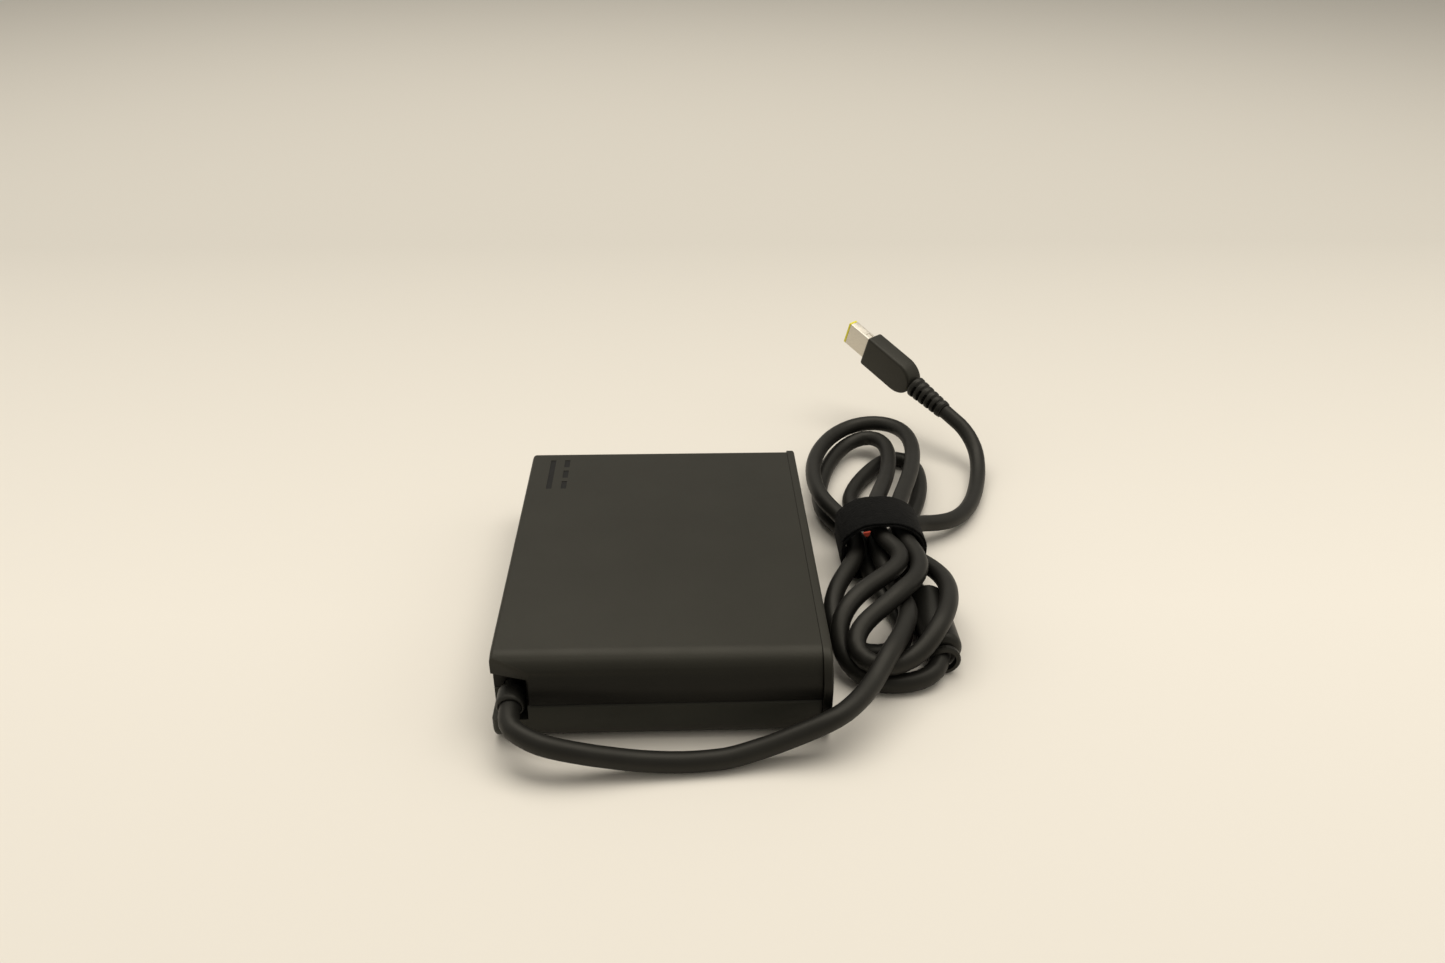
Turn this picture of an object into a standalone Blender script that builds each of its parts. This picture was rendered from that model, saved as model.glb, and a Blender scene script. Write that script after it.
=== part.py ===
"""Laptop power adapter: a flat two-shell mains converter with its captive output lead.

World frame, metres, +Z up: the adapter stands on z = 0 with its origin under its centre,
+Y runs to the mains inlet end and -Y to the end where the output lead leaves.
Lengths below are written in millimetres and turned into metres by MM.
"""

import math

import bmesh
import bpy
from mathutils import Matrix, Vector

MM = 0.001

# ---------------------------------------------------------------- driving dimensions (mm)
BODY_WIDTH = 102.0        # X, over the whole case
BODY_DEPTH = 134.1        # Y, between the front and rear faces
BODY_HEIGHT = 28.5        # Z, feet to top face
FOOT_DROP = 0.8           # how far the feet stand below the lower shell
WALL = 2.0
GAP = 0.3                 # clearance kept between touching pieces
PARTING_Z = 13.7          # height of the joint between the two shells
FRONT_ROUND = (6.0, 9.0)  # half axes (y, z) of the rounded upper front edge
REAR_ROUND = (3.0, 4.0)
SOLE_ROUND = (6.0, 6.5)   # rounding under the front and rear faces
ARC_STEPS = 8

CAP_THICK = 2.7           # end cap on the +X end, proud of both faces
CAP_PROUD = 1.3

NOTCH_X = -40.0           # inner wall of the corner notch at the front left
NOTCH_BACK_Y = -57.5
NOTCH_Z = (8.6, 21.8)
VISOR_LEFT_Y = -61.2      # the slanted face above the notch, at the -X side
VISOR_RIGHT_Y = -64.8     # and where it meets the front face

INLET_X = 20.0            # mains inlet, in the rear face
INLET_SIZE = (28.0, 20.0)
INLET_Z = 14.0
INLET_DEPTH = 22.0
SOCKET_SIZE = (24.6, 16.4)
SOCKET_DEPTH = 16.0
SOCKET_CHAMFER = 4.5
PIN_SIZE = (4.0, 2.0)

CORD_D = 6.4
BOOT_D = 8.8
BOOT_NECK_D = 5.2                  # where the boot passes through the wall of the notch
BOOT_ROOT = (-45.2, -51.5, 15.2)   # inner end of the cable boot
BOOT_RIM = (-45.2, -66.8, 13.2)    # outer end, where the cord comes out

STRAP_X = (63.4, 95.6)             # hook-and-loop strap round the waist of the hank
STRAP_Y = (15.5, 36.5)
STRAP_Z = (0.25, 24.9)
STRAP_THICK = 1.8
STRAP_CORNER = 9.0
HANK_Z = (0.3, 23.4)

PLUG_START = (122.6, 119.9, 19.0)  # where the cord enters the plug's strain relief
PLUG_AIM = (-0.600, 0.730, 0.325)
PLUG_ROLL = math.radians(-3.0)
RELIEF_LEN = 18.5
HOUSING_LEN = 29.0
HOUSING_W = 14.8
HOUSING_T = 8.6
SHELL_LEN = 12.5
SHELL_W = 11.0
SHELL_T = 4.5

# Centre line of the output lead, from the boot to the near end of the hank.
LEAD_ROUTE = [
    (-45.2, -67.9, 13.0), (-45.1, -71.2, 12.6), (-43.7, -75.0, 12.2), (-40.2, -77.8, 11.6),
    (-35.6, -80.0, 10.7), (-30.0, -81.0, 9.5), (-24.0, -81.4, 8.2), (-18.0, -81.4, 6.8),
    (-6.5, -81.2, 4.6), (5.1, -80.8, 3.4), (13.9, -80.2, 3.3), (20.7, -79.4, 3.7),
    (30.5, -77.5, 5.6), (36.3, -76.4, 7.2), (41.0, -75.5, 8.7), (45.2, -74.6, 10.0),
    (49.2, -73.4, 11.2), (53.2, -71.2, 11.9), (57.2, -67.6, 12.3), (61.4, -62.6, 12.6),
    (65.2, -56.9, 12.9), (67.4, -52.8, 13.0),
]
# Centre line of the free end, from the strap to the plug.
TAIL_ROUTE = [
    (98.6, 42.6, 8.3), (105.0, 45.4, 6.8), (111.4, 49.2, 5.5), (117.0, 54.8, 4.4),
    (122.0, 62.2, 3.7), (126.4, 71.4, 3.4), (130.0, 81.6, 3.8), (132.6, 91.6, 5.6),
    (133.4, 100.2, 8.6), (132.0, 107.0, 12.0), (129.2, 112.2, 15.0), (126.0, 116.0, 17.0),
    (123.1, 119.3, 18.7),
]
# Outline of the hank seen from above: (y, left x, right x).
HANK_STATIONS = [
    (-48.0, 70.0, 80.0), (-44.5, 61.0, 90.0), (-36.0, 55.0, 98.5), (-20.0, 53.0, 103.0),
    (-4.0, 54.0, 103.0), (6.0, 59.0, 98.5), (13.0, 65.4, 93.6), (40.0, 65.4, 93.6),
    (48.0, 61.0, 98.0), (62.0, 58.5, 104.5), (80.0, 58.0, 109.5), (95.0, 60.0, 110.0),
    (108.0, 66.0, 108.5), (118.0, 74.0, 104.0), (124.0, 84.0, 97.0),
]
BEAD_X = 91.6
BEAD_Y = (-36.0, -4.0)
BEAD_D = 13.0

BODY_FRONT = -BODY_DEPTH / 2
BODY_REAR = BODY_DEPTH / 2
BODY_LEFT = -BODY_WIDTH / 2
BODY_RIGHT = BODY_WIDTH / 2
COVER_RIGHT = BODY_RIGHT - CAP_THICK - GAP

# ---------------------------------------------------------------- scene and materials


def clear_scene():
    for obj in list(bpy.data.objects):
        bpy.data.objects.remove(obj, do_unlink=True)


def make_collection(name):
    coll = bpy.data.collections.new(name)
    bpy.context.scene.collection.children.link(coll)
    return coll


def make_material(name, rgb, roughness, metallic=0.0):
    mat = bpy.data.materials.new(name)
    mat.use_nodes = True
    shader = mat.node_tree.nodes["Principled BSDF"]
    shader.inputs["Base Color"].default_value = (*rgb, 1.0)
    shader.inputs["Roughness"].default_value = roughness
    shader.inputs["Metallic"].default_value = metallic
    mat.diffuse_color = (*rgb, 1.0)
    return mat


def make_palette():
    return {
        "case": make_material("case_plastic", (0.030, 0.029, 0.025), 0.55),
        "rubber": make_material("foot_rubber", (0.020, 0.020, 0.020), 0.85),
        "label": make_material("label_film", (0.055, 0.055, 0.055), 0.45),
        "inlet": make_material("inlet_plastic", (0.012, 0.012, 0.012), 0.40),
        "jacket": make_material("cord_jacket", (0.022, 0.021, 0.019), 0.42),
        "strap": make_material("strap_fabric", (0.008, 0.008, 0.008), 0.95),
        "tab": make_material("strap_tab", (0.62, 0.07, 0.03), 0.80),
        "nickel": make_material("nickel_plate", (0.72, 0.68, 0.60), 0.28, 1.0),
        "yellow": make_material("yellow_insulator", (0.80, 0.68, 0.06), 0.45),
        "board": make_material("circuit_board", (0.03, 0.16, 0.07), 0.50),
        "aluminium": make_material("aluminium_sheet", (0.62, 0.63, 0.65), 0.38, 1.0),
        "ferrite": make_material("ferrite_ceramic", (0.045, 0.045, 0.050), 0.60),
        "copper": make_material("copper_winding", (0.62, 0.26, 0.10), 0.35, 1.0),
        "tape": make_material("yellow_tape", (0.72, 0.52, 0.05), 0.45),
        "can": make_material("capacitor_sleeve", (0.02, 0.03, 0.06), 0.35),
        "film": make_material("film_capacitor", (0.55, 0.10, 0.03), 0.40),
        "epoxy": make_material("black_epoxy", (0.020, 0.020, 0.022), 0.45),
        "sheet": make_material("insulation_sheet", (0.60, 0.58, 0.48), 0.60),
        "brass": make_material("brass_pin", (0.75, 0.58, 0.30), 0.30, 1.0),
        "glass": make_material("fuse_glass", (0.60, 0.62, 0.60), 0.20),
        "blue": make_material("blue_varnish", (0.03, 0.12, 0.40), 0.35),
    }


# ---------------------------------------------------------------- modelling helpers


def scaled(point):
    return Vector(point) * MM


def link(obj, coll, material=None):
    for other in list(obj.users_collection):
        other.objects.unlink(obj)
    coll.objects.link(obj)
    if material is not None:
        obj.data.materials.clear()
        obj.data.materials.append(material)
    return obj


def mesh_object(name, bm, coll, material=None):
    bmesh.ops.recalc_face_normals(bm, faces=bm.faces)
    mesh = bpy.data.meshes.new(name)
    bm.to_mesh(mesh)
    bm.free()
    return link(bpy.data.objects.new(name, mesh), coll, material)


def add_bevel(obj, width, segments=2, angle=40.0):
    mod = obj.modifiers.new("edges", "BEVEL")
    mod.width = width * MM
    mod.segments = segments
    mod.limit_method = "ANGLE"
    mod.angle_limit = math.radians(angle)
    return obj


def box(name, low, high, coll, material=None, bevel=0.0, segments=1):
    """A box between two corners, with its edges optionally rounded."""
    bm = bmesh.new()
    bmesh.ops.create_cube(bm, size=1.0)
    size = [(b - a) * MM for a, b in zip(low, high)]
    centre = [(a + b) / 2 * MM for a, b in zip(low, high)]
    bmesh.ops.scale(bm, vec=size, verts=bm.verts)
    bmesh.ops.translate(bm, vec=centre, verts=bm.verts)
    obj = mesh_object(name, bm, coll, material)
    if bevel > 0:
        add_bevel(obj, bevel, segments)
    return obj


def axis_matrix(start, end):
    """A frame at start whose +Z points at end."""
    direction = Vector(end) - Vector(start)
    turn = direction.to_track_quat("Z", "Y").to_matrix().to_4x4()
    return Matrix.Translation(scaled(start)) @ turn


def cylinder(name, start, end, diameter, coll, material=None, segments=24, bevel=0.0):
    length = (Vector(end) - Vector(start)).length
    bm = bmesh.new()
    bmesh.ops.create_cone(bm, cap_ends=True, segments=segments, radius1=diameter / 2 * MM,
                          radius2=diameter / 2 * MM, depth=length * MM)
    bmesh.ops.translate(bm, vec=(0, 0, length / 2 * MM), verts=bm.verts)
    obj = mesh_object(name, bm, coll, material)
    obj.matrix_world = axis_matrix(start, end)
    if bevel > 0:
        add_bevel(obj, bevel)
    obj.data.shade_smooth()
    return obj


def turned(name, profile, frame, coll, material, steps=24):
    """A solid of revolution about the local Z axis; the profile is (radius, height), top first."""
    bm = bmesh.new()
    verts = [bm.verts.new((r * MM, 0.0, h * MM)) for r, h in profile]
    for a, b in zip(verts, verts[1:]):
        bm.edges.new((a, b))
    mesh = bpy.data.meshes.new(name)
    bm.to_mesh(mesh)
    bm.free()
    obj = link(bpy.data.objects.new(name, mesh), coll, material)
    obj.matrix_world = frame
    screw = obj.modifiers.new("turn", "SCREW")
    screw.axis = "Z"
    screw.steps = steps
    screw.render_steps = steps
    screw.use_merge_vertices = True
    screw.merge_threshold = 0.00001
    return obj


def plate_from_outline(name, outline, thickness, frame, coll, material, holes=()):
    """A flat outline in the local XY plane, extruded to both sides of it by half the thickness."""
    curve = bpy.data.curves.new(name, "CURVE")
    curve.dimensions = "2D"
    curve.fill_mode = "BOTH"
    curve.extrude = thickness / 2 * MM
    for ring in (outline, *holes):
        spline = curve.splines.new("POLY")
        spline.points.add(len(ring) - 1)
        for point, (x, y) in zip(spline.points, ring):
            point.co = (x * MM, y * MM, 0.0, 1.0)
        spline.use_cyclic_u = True
    rough = bpy.data.objects.new(name + "_outline", curve)
    rough.matrix_world = frame
    return meshed(rough, name, coll, material)


def meshed(rough, name, coll, material):
    """Turn a curve object into a welded mesh object and drop the curve."""
    bpy.context.scene.collection.objects.link(rough)
    bpy.context.view_layer.update()
    graph = bpy.context.evaluated_depsgraph_get()
    mesh = bpy.data.meshes.new_from_object(rough.evaluated_get(graph))
    bm = bmesh.new()
    bm.from_mesh(mesh)
    bmesh.ops.remove_doubles(bm, verts=bm.verts, dist=0.000001)
    bmesh.ops.recalc_face_normals(bm, faces=bm.faces)
    bm.to_mesh(mesh)
    bm.free()
    mesh.name = name
    obj = link(bpy.data.objects.new(name, mesh), coll, material)
    obj.matrix_world = rough.matrix_world.copy()
    bpy.data.objects.remove(rough, do_unlink=True)
    return obj


def cut(obj, cutter, operation="DIFFERENCE"):
    mod = obj.modifiers.new("cut", "BOOLEAN")
    mod.operation = operation
    mod.solver = "EXACT"
    mod.object = cutter
    return obj


def hide_cutter(obj):
    obj.hide_render = True
    obj.display_type = "WIRE"
    return obj


def smooth_route(points, spacing):
    """Evenly spaced points on the smooth curve (centripetal Catmull-Rom) through the route."""
    pts = [Vector(p) for p in points]
    pts = [pts[0] * 2 - pts[1], *pts, pts[-1] * 2 - pts[-2]]
    dense = []
    for a, b, c, d in zip(pts, pts[1:], pts[2:], pts[3:]):
        for k in range(12):
            t = k / 12
            dense.append(0.5 * (2 * b + (c - a) * t + (2 * a - 5 * b + 4 * c - d) * t * t
                                + (3 * b - a - 3 * c + d) * t ** 3))
    dense.append(pts[-2])
    lengths = [0.0]
    for a, b in zip(dense, dense[1:]):
        lengths.append(lengths[-1] + (b - a).length)
    count = max(2, round(lengths[-1] / spacing))
    route = []
    j = 0
    for i in range(count + 1):
        s = lengths[-1] * i / count
        while j < len(dense) - 2 and lengths[j + 1] < s:
            j += 1
        step = lengths[j + 1] - lengths[j]
        route.append(dense[j].lerp(dense[j + 1], (s - lengths[j]) / step))
    return route


def tube(name, points, diameter, coll, material, spacing=None):
    """A round cord or wire: a bevelled curve with filled ends."""
    route = smooth_route(points, spacing or 1.2 * diameter)
    curve = bpy.data.curves.new(name, "CURVE")
    curve.dimensions = "3D"
    curve.bevel_depth = diameter / 2 * MM
    curve.bevel_resolution = 2
    curve.use_fill_caps = True
    spline = curve.splines.new("POLY")
    spline.points.add(len(route) - 1)
    for point, co in zip(spline.points, route):
        point.co = (*(co * MM), 1.0)
    obj = bpy.data.objects.new(name, curve)
    coll.objects.link(obj)
    curve.materials.append(material)
    return obj


def quarter(centre, half_axes, start_deg, end_deg, steps=ARC_STEPS):
    """Points on an elliptical arc."""
    points = []
    for i in range(steps + 1):
        a = math.radians(start_deg + (end_deg - start_deg) * i / steps)
        points.append((centre[0] + half_axes[0] * math.cos(a), centre[1] + half_axes[1] * math.sin(a)))
    return points


# ---------------------------------------------------------------- case

# Local XY of a side outline lies in the world YZ plane, its extrusion runs along world X.
SIDE_TURN = Matrix(((0, 0, 1, 0), (1, 0, 0, 0), (0, 1, 0, 0), (0, 0, 0, 1)))


def side_frame(x):
    return Matrix.Translation((x * MM, 0, 0)) @ SIDE_TURN


def upper_outline(front, rear, top, base, inset=0.0):
    """Side outline of the upper shell: rounded front edge, tighter rear edge, open joint line."""
    fy, fz = FRONT_ROUND[0] - inset / 2, FRONT_ROUND[1] - inset / 2
    ry, rz = REAR_ROUND[0] - inset / 2, REAR_ROUND[1] - inset / 2
    points = [(front, base)]
    points += quarter((front + fy, top - fz), (fy, fz), 180, 90)
    points += quarter((rear - ry, top - rz), (ry, rz), 90, 0)
    points.append((rear, base))
    return points


def lower_outline(front, rear, bottom, joint, inset=0.0):
    """Side outline of the lower shell: the faces curl under to the flat sole."""
    sy, sz = SOLE_ROUND[0] - inset / 2, SOLE_ROUND[1] - inset / 2
    points = [(rear, joint)]
    points += quarter((rear - sy, bottom + sz), (sy, sz), 0, -90)
    points += quarter((front + sy, bottom + sz), (sy, sz), -90, -180)
    points.append((front, joint))
    return points


def shell_cavity(name, outline, tools):
    """The hollow of a shell, leaving the walls of the corner notch standing."""
    low, high = BODY_LEFT + WALL, BODY_RIGHT + 5
    cavity = plate_from_outline(name, outline, high - low, side_frame((low + high) / 2), tools, None)
    keep = box(name + "_keep", (BODY_LEFT - 5, BODY_FRONT - 5, NOTCH_Z[0] - WALL),
               (NOTCH_X + WALL, NOTCH_BACK_Y + WALL, BODY_HEIGHT + 5), tools)
    cut(cavity, hide_cutter(keep))
    return hide_cutter(cavity)


def visor_cutter(tools):
    """Pares the corner above the notch back to a slanted upright face."""
    slope = math.atan2(VISOR_RIGHT_Y - VISOR_LEFT_Y, NOTCH_X - BODY_LEFT)
    visor = box("visor_cut", (-14.0, -12.0, 2.0), (12.9, 0.0, 40.0), tools)
    visor.matrix_world = (Matrix.Translation(scaled((BODY_LEFT, VISOR_LEFT_Y, 0)))
                          @ Matrix.Rotation(slope, 4, "Z"))
    return hide_cutter(visor)


def notch_cutters(tools):
    """The open corner that the cord leaves through, and the bore for the boot's neck."""
    notch = box("notch_cut", (BODY_LEFT - 5, BODY_FRONT - 5, NOTCH_Z[0]),
                (NOTCH_X, NOTCH_BACK_Y, NOTCH_Z[1]), tools)
    reach = (Vector(BOOT_RIM) - Vector(BOOT_ROOT)) * 0.6
    bore = cylinder("boot_bore", BOOT_ROOT, Vector(BOOT_ROOT) + reach, BOOT_NECK_D + 2 * GAP, tools)
    return [hide_cutter(tool) for tool in (notch, bore)]


def inlet_cutter(tools):
    half_w, half_h = INLET_SIZE[0] / 2 + GAP, INLET_SIZE[1] / 2 + GAP
    return hide_cutter(box("inlet_window", (INLET_X - half_w, BODY_REAR - 8, INLET_Z - half_h),
                           (INLET_X + half_w, BODY_REAR + 5, INLET_Z + half_h), tools))


def output_mark_cutters(tools):
    """A sunk direct-current sign in the far left corner of the top face: one bar over three."""
    top = BODY_HEIGHT
    bars = [((-45.4, 49.0), (-43.4, 61.0))]
    for i in range(3):
        start = 49.0 + 4.4 * i
        bars.append(((-41.2, start), (-39.2, start + 3.2)))
    marks = []
    for i, ((x0, y0), (x1, y1)) in enumerate(bars):
        marks.append(hide_cutter(box("mark_cut_%d" % i, (x0, y0, top - 0.4), (x1, y1, top + 1), tools)))
    return marks


def make_covers(parts, tools, mats):
    width = COVER_RIGHT - BODY_LEFT
    middle = side_frame((COVER_RIGHT + BODY_LEFT) / 2)
    inner_f, inner_r = BODY_FRONT + WALL, BODY_REAR - WALL
    top = plate_from_outline("top_cover", upper_outline(BODY_FRONT, BODY_REAR, BODY_HEIGHT,
                                                        PARTING_Z + GAP / 2),
                             width, middle, parts, mats["case"])
    bottom = plate_from_outline("bottom_cover", lower_outline(BODY_FRONT + 0.25, BODY_REAR - 0.25,
                                                              FOOT_DROP, PARTING_Z - GAP / 2),
                                width, middle, parts, mats["case"])
    add_bevel(bottom, 0.9, 2, 50)
    cut(top, visor_cutter(tools))
    cut(top, shell_cavity("top_cavity", upper_outline(inner_f, inner_r, BODY_HEIGHT - WALL,
                                                      PARTING_Z - 3, WALL), tools))
    cut(bottom, shell_cavity("bottom_cavity", lower_outline(inner_f, inner_r, FOOT_DROP + WALL,
                                                            PARTING_Z + 3, WALL), tools))
    for tool in notch_cutters(tools) + [inlet_cutter(tools)]:
        cut(top, tool)
        cut(bottom, tool)
    for tool in output_mark_cutters(tools):
        cut(top, tool)
    for tool in foot_pockets(tools):
        cut(bottom, tool)


def make_end_cap(parts, mats):
    """The +X end cover, a plate standing proud of the front and rear faces."""
    front, rear = BODY_FRONT - CAP_PROUD, BODY_REAR + CAP_PROUD
    outline = upper_outline(front, rear, BODY_HEIGHT, PARTING_Z)[1:-1]
    outline += lower_outline(front, rear, FOOT_DROP, PARTING_Z)[1:-1]
    cap = plate_from_outline("end_cap", outline, CAP_THICK, side_frame(BODY_RIGHT - CAP_THICK / 2),
                             parts, mats["case"])
    add_bevel(cap, 0.6, 2, 50)


FOOT_SPOTS = {
    "foot_front_left": (-36, -50), "foot_front_right": (38, -52),
    "foot_rear_left": (-38, 52), "foot_rear_right": (38, 52),
}
FOOT_D = 11.0


def foot_pockets(tools):
    pockets = []
    for name, (x, y) in FOOT_SPOTS.items():
        pockets.append(hide_cutter(cylinder(name + "_pocket", (x, y, -1), (x, y, FOOT_DROP + 0.9),
                                            FOOT_D + 2 * GAP, tools)))
    return pockets


def make_feet(parts, mats):
    for name, (x, y) in FOOT_SPOTS.items():
        cylinder(name, (x, y, 0.0), (x, y, FOOT_DROP + 0.9 - GAP), FOOT_D, parts, mats["rubber"])


def make_label(parts, mats):
    box("rating_label", (-31, -38, 0.35), (31, 38, FOOT_DROP - 0.2), parts, mats["label"])


# ---------------------------------------------------------------- mains inlet


def make_inlet(parts, tools, mats):
    """A three-pin appliance inlet: a block with a socket that has two chamfered corners."""
    half_w, half_h = INLET_SIZE[0] / 2, INLET_SIZE[1] / 2
    block = box("ac_inlet_housing", (INLET_X - half_w, BODY_REAR - INLET_DEPTH, INLET_Z - half_h),
                (INLET_X + half_w, BODY_REAR, INLET_Z + half_h), parts, mats["inlet"], 0.5)
    w, h, c = SOCKET_SIZE[0] / 2, SOCKET_SIZE[1] / 2, SOCKET_CHAMFER
    outline = [(-w, -h), (w, -h), (w, h - c), (w - c, h), (-w + c, h), (-w, h - c)]
    depth = SOCKET_DEPTH + 4
    frame = (Matrix.Translation(scaled((INLET_X, BODY_REAR - SOCKET_DEPTH + depth / 2, INLET_Z)))
             @ Matrix.Rotation(math.radians(90), 4, "X"))
    cut(block, hide_cutter(plate_from_outline("socket_cut", outline, depth, frame, tools, None)))
    pins = {"inlet_pin_live": (-7.0, -1.6), "inlet_pin_neutral": (7.0, -1.6), "inlet_pin_earth": (0, 2.4)}
    for name, (dx, dz) in pins.items():
        x, z = INLET_X + dx, INLET_Z + dz
        pw, pl = PIN_SIZE[1] / 2, PIN_SIZE[0] / 2
        hole = box(name + "_hole", (x - pw - GAP, BODY_REAR - INLET_DEPTH - 5, z - pl - GAP),
                   (x + pw + GAP, BODY_REAR - SOCKET_DEPTH + 2, z + pl + GAP), tools)
        cut(block, hide_cutter(hole))
        box(name, (x - pw, BODY_REAR - INLET_DEPTH - 3, z - pl), (x + pw, BODY_REAR - 3.5, z + pl),
            parts, mats["nickel"], 0.4)


# ---------------------------------------------------------------- inside


def make_sheets(parts, mats):
    box("insulation_sheet_bottom", (-46, -59, 3.2), (46, 60, 3.6), parts, mats["sheet"])
    box("insulation_sheet_top", (-37, -57, 25.7), (46, 61, 26.1), parts, mats["sheet"])
    box("heat_spreader_bottom", (-44, -53, 4.0), (44, 43, 4.8), parts, mats["aluminium"])
    box("heat_spreader_top", (-36, -55, 24.5), (44, 43, 25.3), parts, mats["aluminium"])
    box("main_board", (-44, -53, 6.8), (44, 43, 8.4), parts, mats["board"])


def wound_core(name, centre, core, coil, parts, mats, winding):
    """A ferrite core with a square window and the winding that fills the window."""
    x, y, z = centre
    cx, cy, cz = core
    body = box(name + "_core", (x - cx / 2, y - cy / 2, z), (x + cx / 2, y + cy / 2, z + cz),
               parts, mats["ferrite"], 0.4)
    wx, wy, wz = coil
    window = box(name + "_window", (x - wx / 2 - GAP, y - cy / 2 - 1, z + cz / 2 - wz / 2 - GAP),
                 (x + wx / 2 + GAP, y + cy / 2 + 1, z + cz / 2 + wz / 2 + GAP), body.users_collection[0])
    cut(body, hide_cutter(window))
    box(name + "_winding", (x - wx / 2, y - wy / 2, z + cz / 2 - wz / 2),
        (x + wx / 2, y + wy / 2, z + cz / 2 + wz / 2), parts, mats[winding], 1.2, 2)
    return window


def toroid(name, centre, outer, bore, height, parts, material):
    """An upright-axis ring with softened edges."""
    r1, r0, h, e = outer / 2, bore / 2, height, 0.8
    profile = [(r0 + e, h), (r1 - e, h), (r1, h - e), (r1, e), (r1 - e, 0), (r0 + e, 0), (r0, e),
               (r0, h - e), (r0 + e, h)]
    turned(name, profile, Matrix.Translation(scaled(centre)), parts, material, 28)


def make_filter_stage(parts, mats):
    z = 8.7
    cylinder("fuse", (39, 16, z + 3), (39, 34, z + 3), 5.2, parts, mats["glass"], 16)
    box("x_capacitor", (12, 26, z), (31, 37, z + 13), parts, mats["film"], 0.6)
    toroid("line_choke", (-5, 33, z), 18.0, 7.0, 11.0, parts, mats["copper"])
    cylinder("varistor", (-23, 31, z + 6), (-23, 35.5, z + 6), 11.0, parts, mats["blue"], 20, 0.8)
    box("bridge_rectifier", (-43, 28, z), (-29, 33, z + 14), parts, mats["epoxy"], 0.5)


def make_power_stage(parts, tools, mats):
    z = 8.7
    for i, y in enumerate((17.0, -2.5)):
        cylinder("bulk_capacitor_%d" % (i + 1), (-43, y, z + 7.4), (-13, y, z + 7.4), 14.6,
                 parts, mats["can"], 24, 0.8)
    windows = [wound_core("boost_choke", (22, 14, z), (26, 16, 14.5), (18, 22, 9.5), parts, mats, "copper"),
               wound_core("transformer", (24, -22, z), (30, 20, 15.0), (21, 27, 10.0), parts, mats, "tape")]
    for window in windows:
        link(window, tools)
    box("primary_heatsink", (-10, -4, z), (39, -1.8, z + 14.5), parts, mats["aluminium"], 0.3)
    for i, x in enumerate((-8.5, 28.0)):
        box("power_transistor_%d" % (i + 1), (x, -1.5, z), (x + 10, 1.6, z + 13), parts,
            mats["epoxy"], 0.4)
    box("controller_board", (3.5, -34, z), (5.1, -9, z + 13), parts, mats["board"])
    box("optocoupler", (-5, -14, z), (0, -8, z + 4), parts, mats["epoxy"], 0.4)


def make_output_stage(parts, mats):
    z = 8.7
    box("output_heatsink", (-12, -42.2, z), (36, -40, z + 14.5), parts, mats["aluminium"], 0.3)
    box("output_rectifier", (10, -45.4, z), (20, -42.5, z + 13), parts, mats["epoxy"], 0.4)
    toroid("output_choke", (-18, -24, z), 14.0, 5.5, 9.0, parts, mats["copper"])
    for i, (x, y) in enumerate(((-34, -18), (-34, -31), (-22, -38))):
        cylinder("output_capacitor_%d" % (i + 1), (x, y, z), (x, y, z + 14), 10.0, parts,
                 mats["can"], 20, 0.6)


def make_wires(parts, mats):
    rear = BODY_REAR - INLET_DEPTH - 4.2
    tube("live_wire", [(13.0, rear, 12.4), (10.8, 39.4, 13.2), (7.8, 37.8, 12.4), (7.4, 37.0, 9.8)],
         1.8, parts, mats["film"], 3.0)
    tube("neutral_wire", [(27.0, rear, 12.4), (30.0, 39.6, 13.2), (34.0, 38.8, 12.6), (35.0, 38.4, 9.8)],
         1.8, parts, mats["blue"], 3.0)
    tube("output_wire_positive", [(-43.2, -50.9, 15.4), (-43.0, -47.0, 14.8), (-42.6, -43.0, 11.6),
                                  (-42.6, -42.0, 9.6)], 2.4, parts, mats["film"], 3.0)
    tube("output_wire_negative", [(-47.0, -50.9, 15.4), (-46.6, -46.0, 14.6), (-43.0, -38.0, 12.4),
                                  (-42.4, -36.0, 9.8)], 2.4, parts, mats["epoxy"], 3.0)


# ---------------------------------------------------------------- output lead


def make_boot(parts, mats):
    """Strain relief of the output lead: a flange held inside the case and a round sleeve."""
    length = (Vector(BOOT_RIM) - Vector(BOOT_ROOT)).length
    r = BOOT_D / 2
    neck, flange = BOOT_NECK_D / 2, BOOT_NECK_D / 2 + 0.9
    profile = [(0, length), (r - 0.8, length), (r - 0.1, length - 0.5), (r, length - 1.4), (r, 7.3),
               (r - 0.4, 6.9), (neck, 6.9), (neck, 3.0), (flange, 3.0), (flange, 0), (0, 0)]
    turned("cable_boot", profile, axis_matrix(BOOT_ROOT, BOOT_RIM), parts, mats["jacket"], 24)


def hank_outline():
    """Outline of the tied hank, a round-ended eight with a waist under the strap."""
    left = smooth_route([(x0, y, 0) for y, x0, x1 in HANK_STATIONS], 5.0)
    right = smooth_route([(x1, y, 0) for y, x0, x1 in HANK_STATIONS], 5.0)
    return [(p.x, p.y) for p in left] + [(p.x, p.y) for p in reversed(right)]


def strap_frame():
    """Local XY is the plane across the hank that the strap is wound in, local Z runs along it."""
    return (Matrix.Translation(scaled((0, sum(STRAP_Y) / 2, 0)))
            @ Matrix.Rotation(math.radians(90), 4, "X"))


def strap_ring(inset):
    """The strap's outline, drawn in by an inset from its outer face."""
    (x0, x1), (z0, z1) = STRAP_X, STRAP_Z
    return round_rect(x0 + inset, x1 - inset, z0 + inset, z1 - inset, STRAP_CORNER - inset)


def strap_groove(tools):
    """All that lies outside the strap's inner face, over the strap's width."""
    groove = box("strap_groove", (50, STRAP_Y[0] - GAP, -2), (110, STRAP_Y[1] + GAP, 30), tools)
    core = plate_from_outline("strap_core", strap_ring(STRAP_THICK + GAP), 60, strap_frame(), tools, None)
    cut(groove, hide_cutter(core))
    return hide_cutter(groove)


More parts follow.
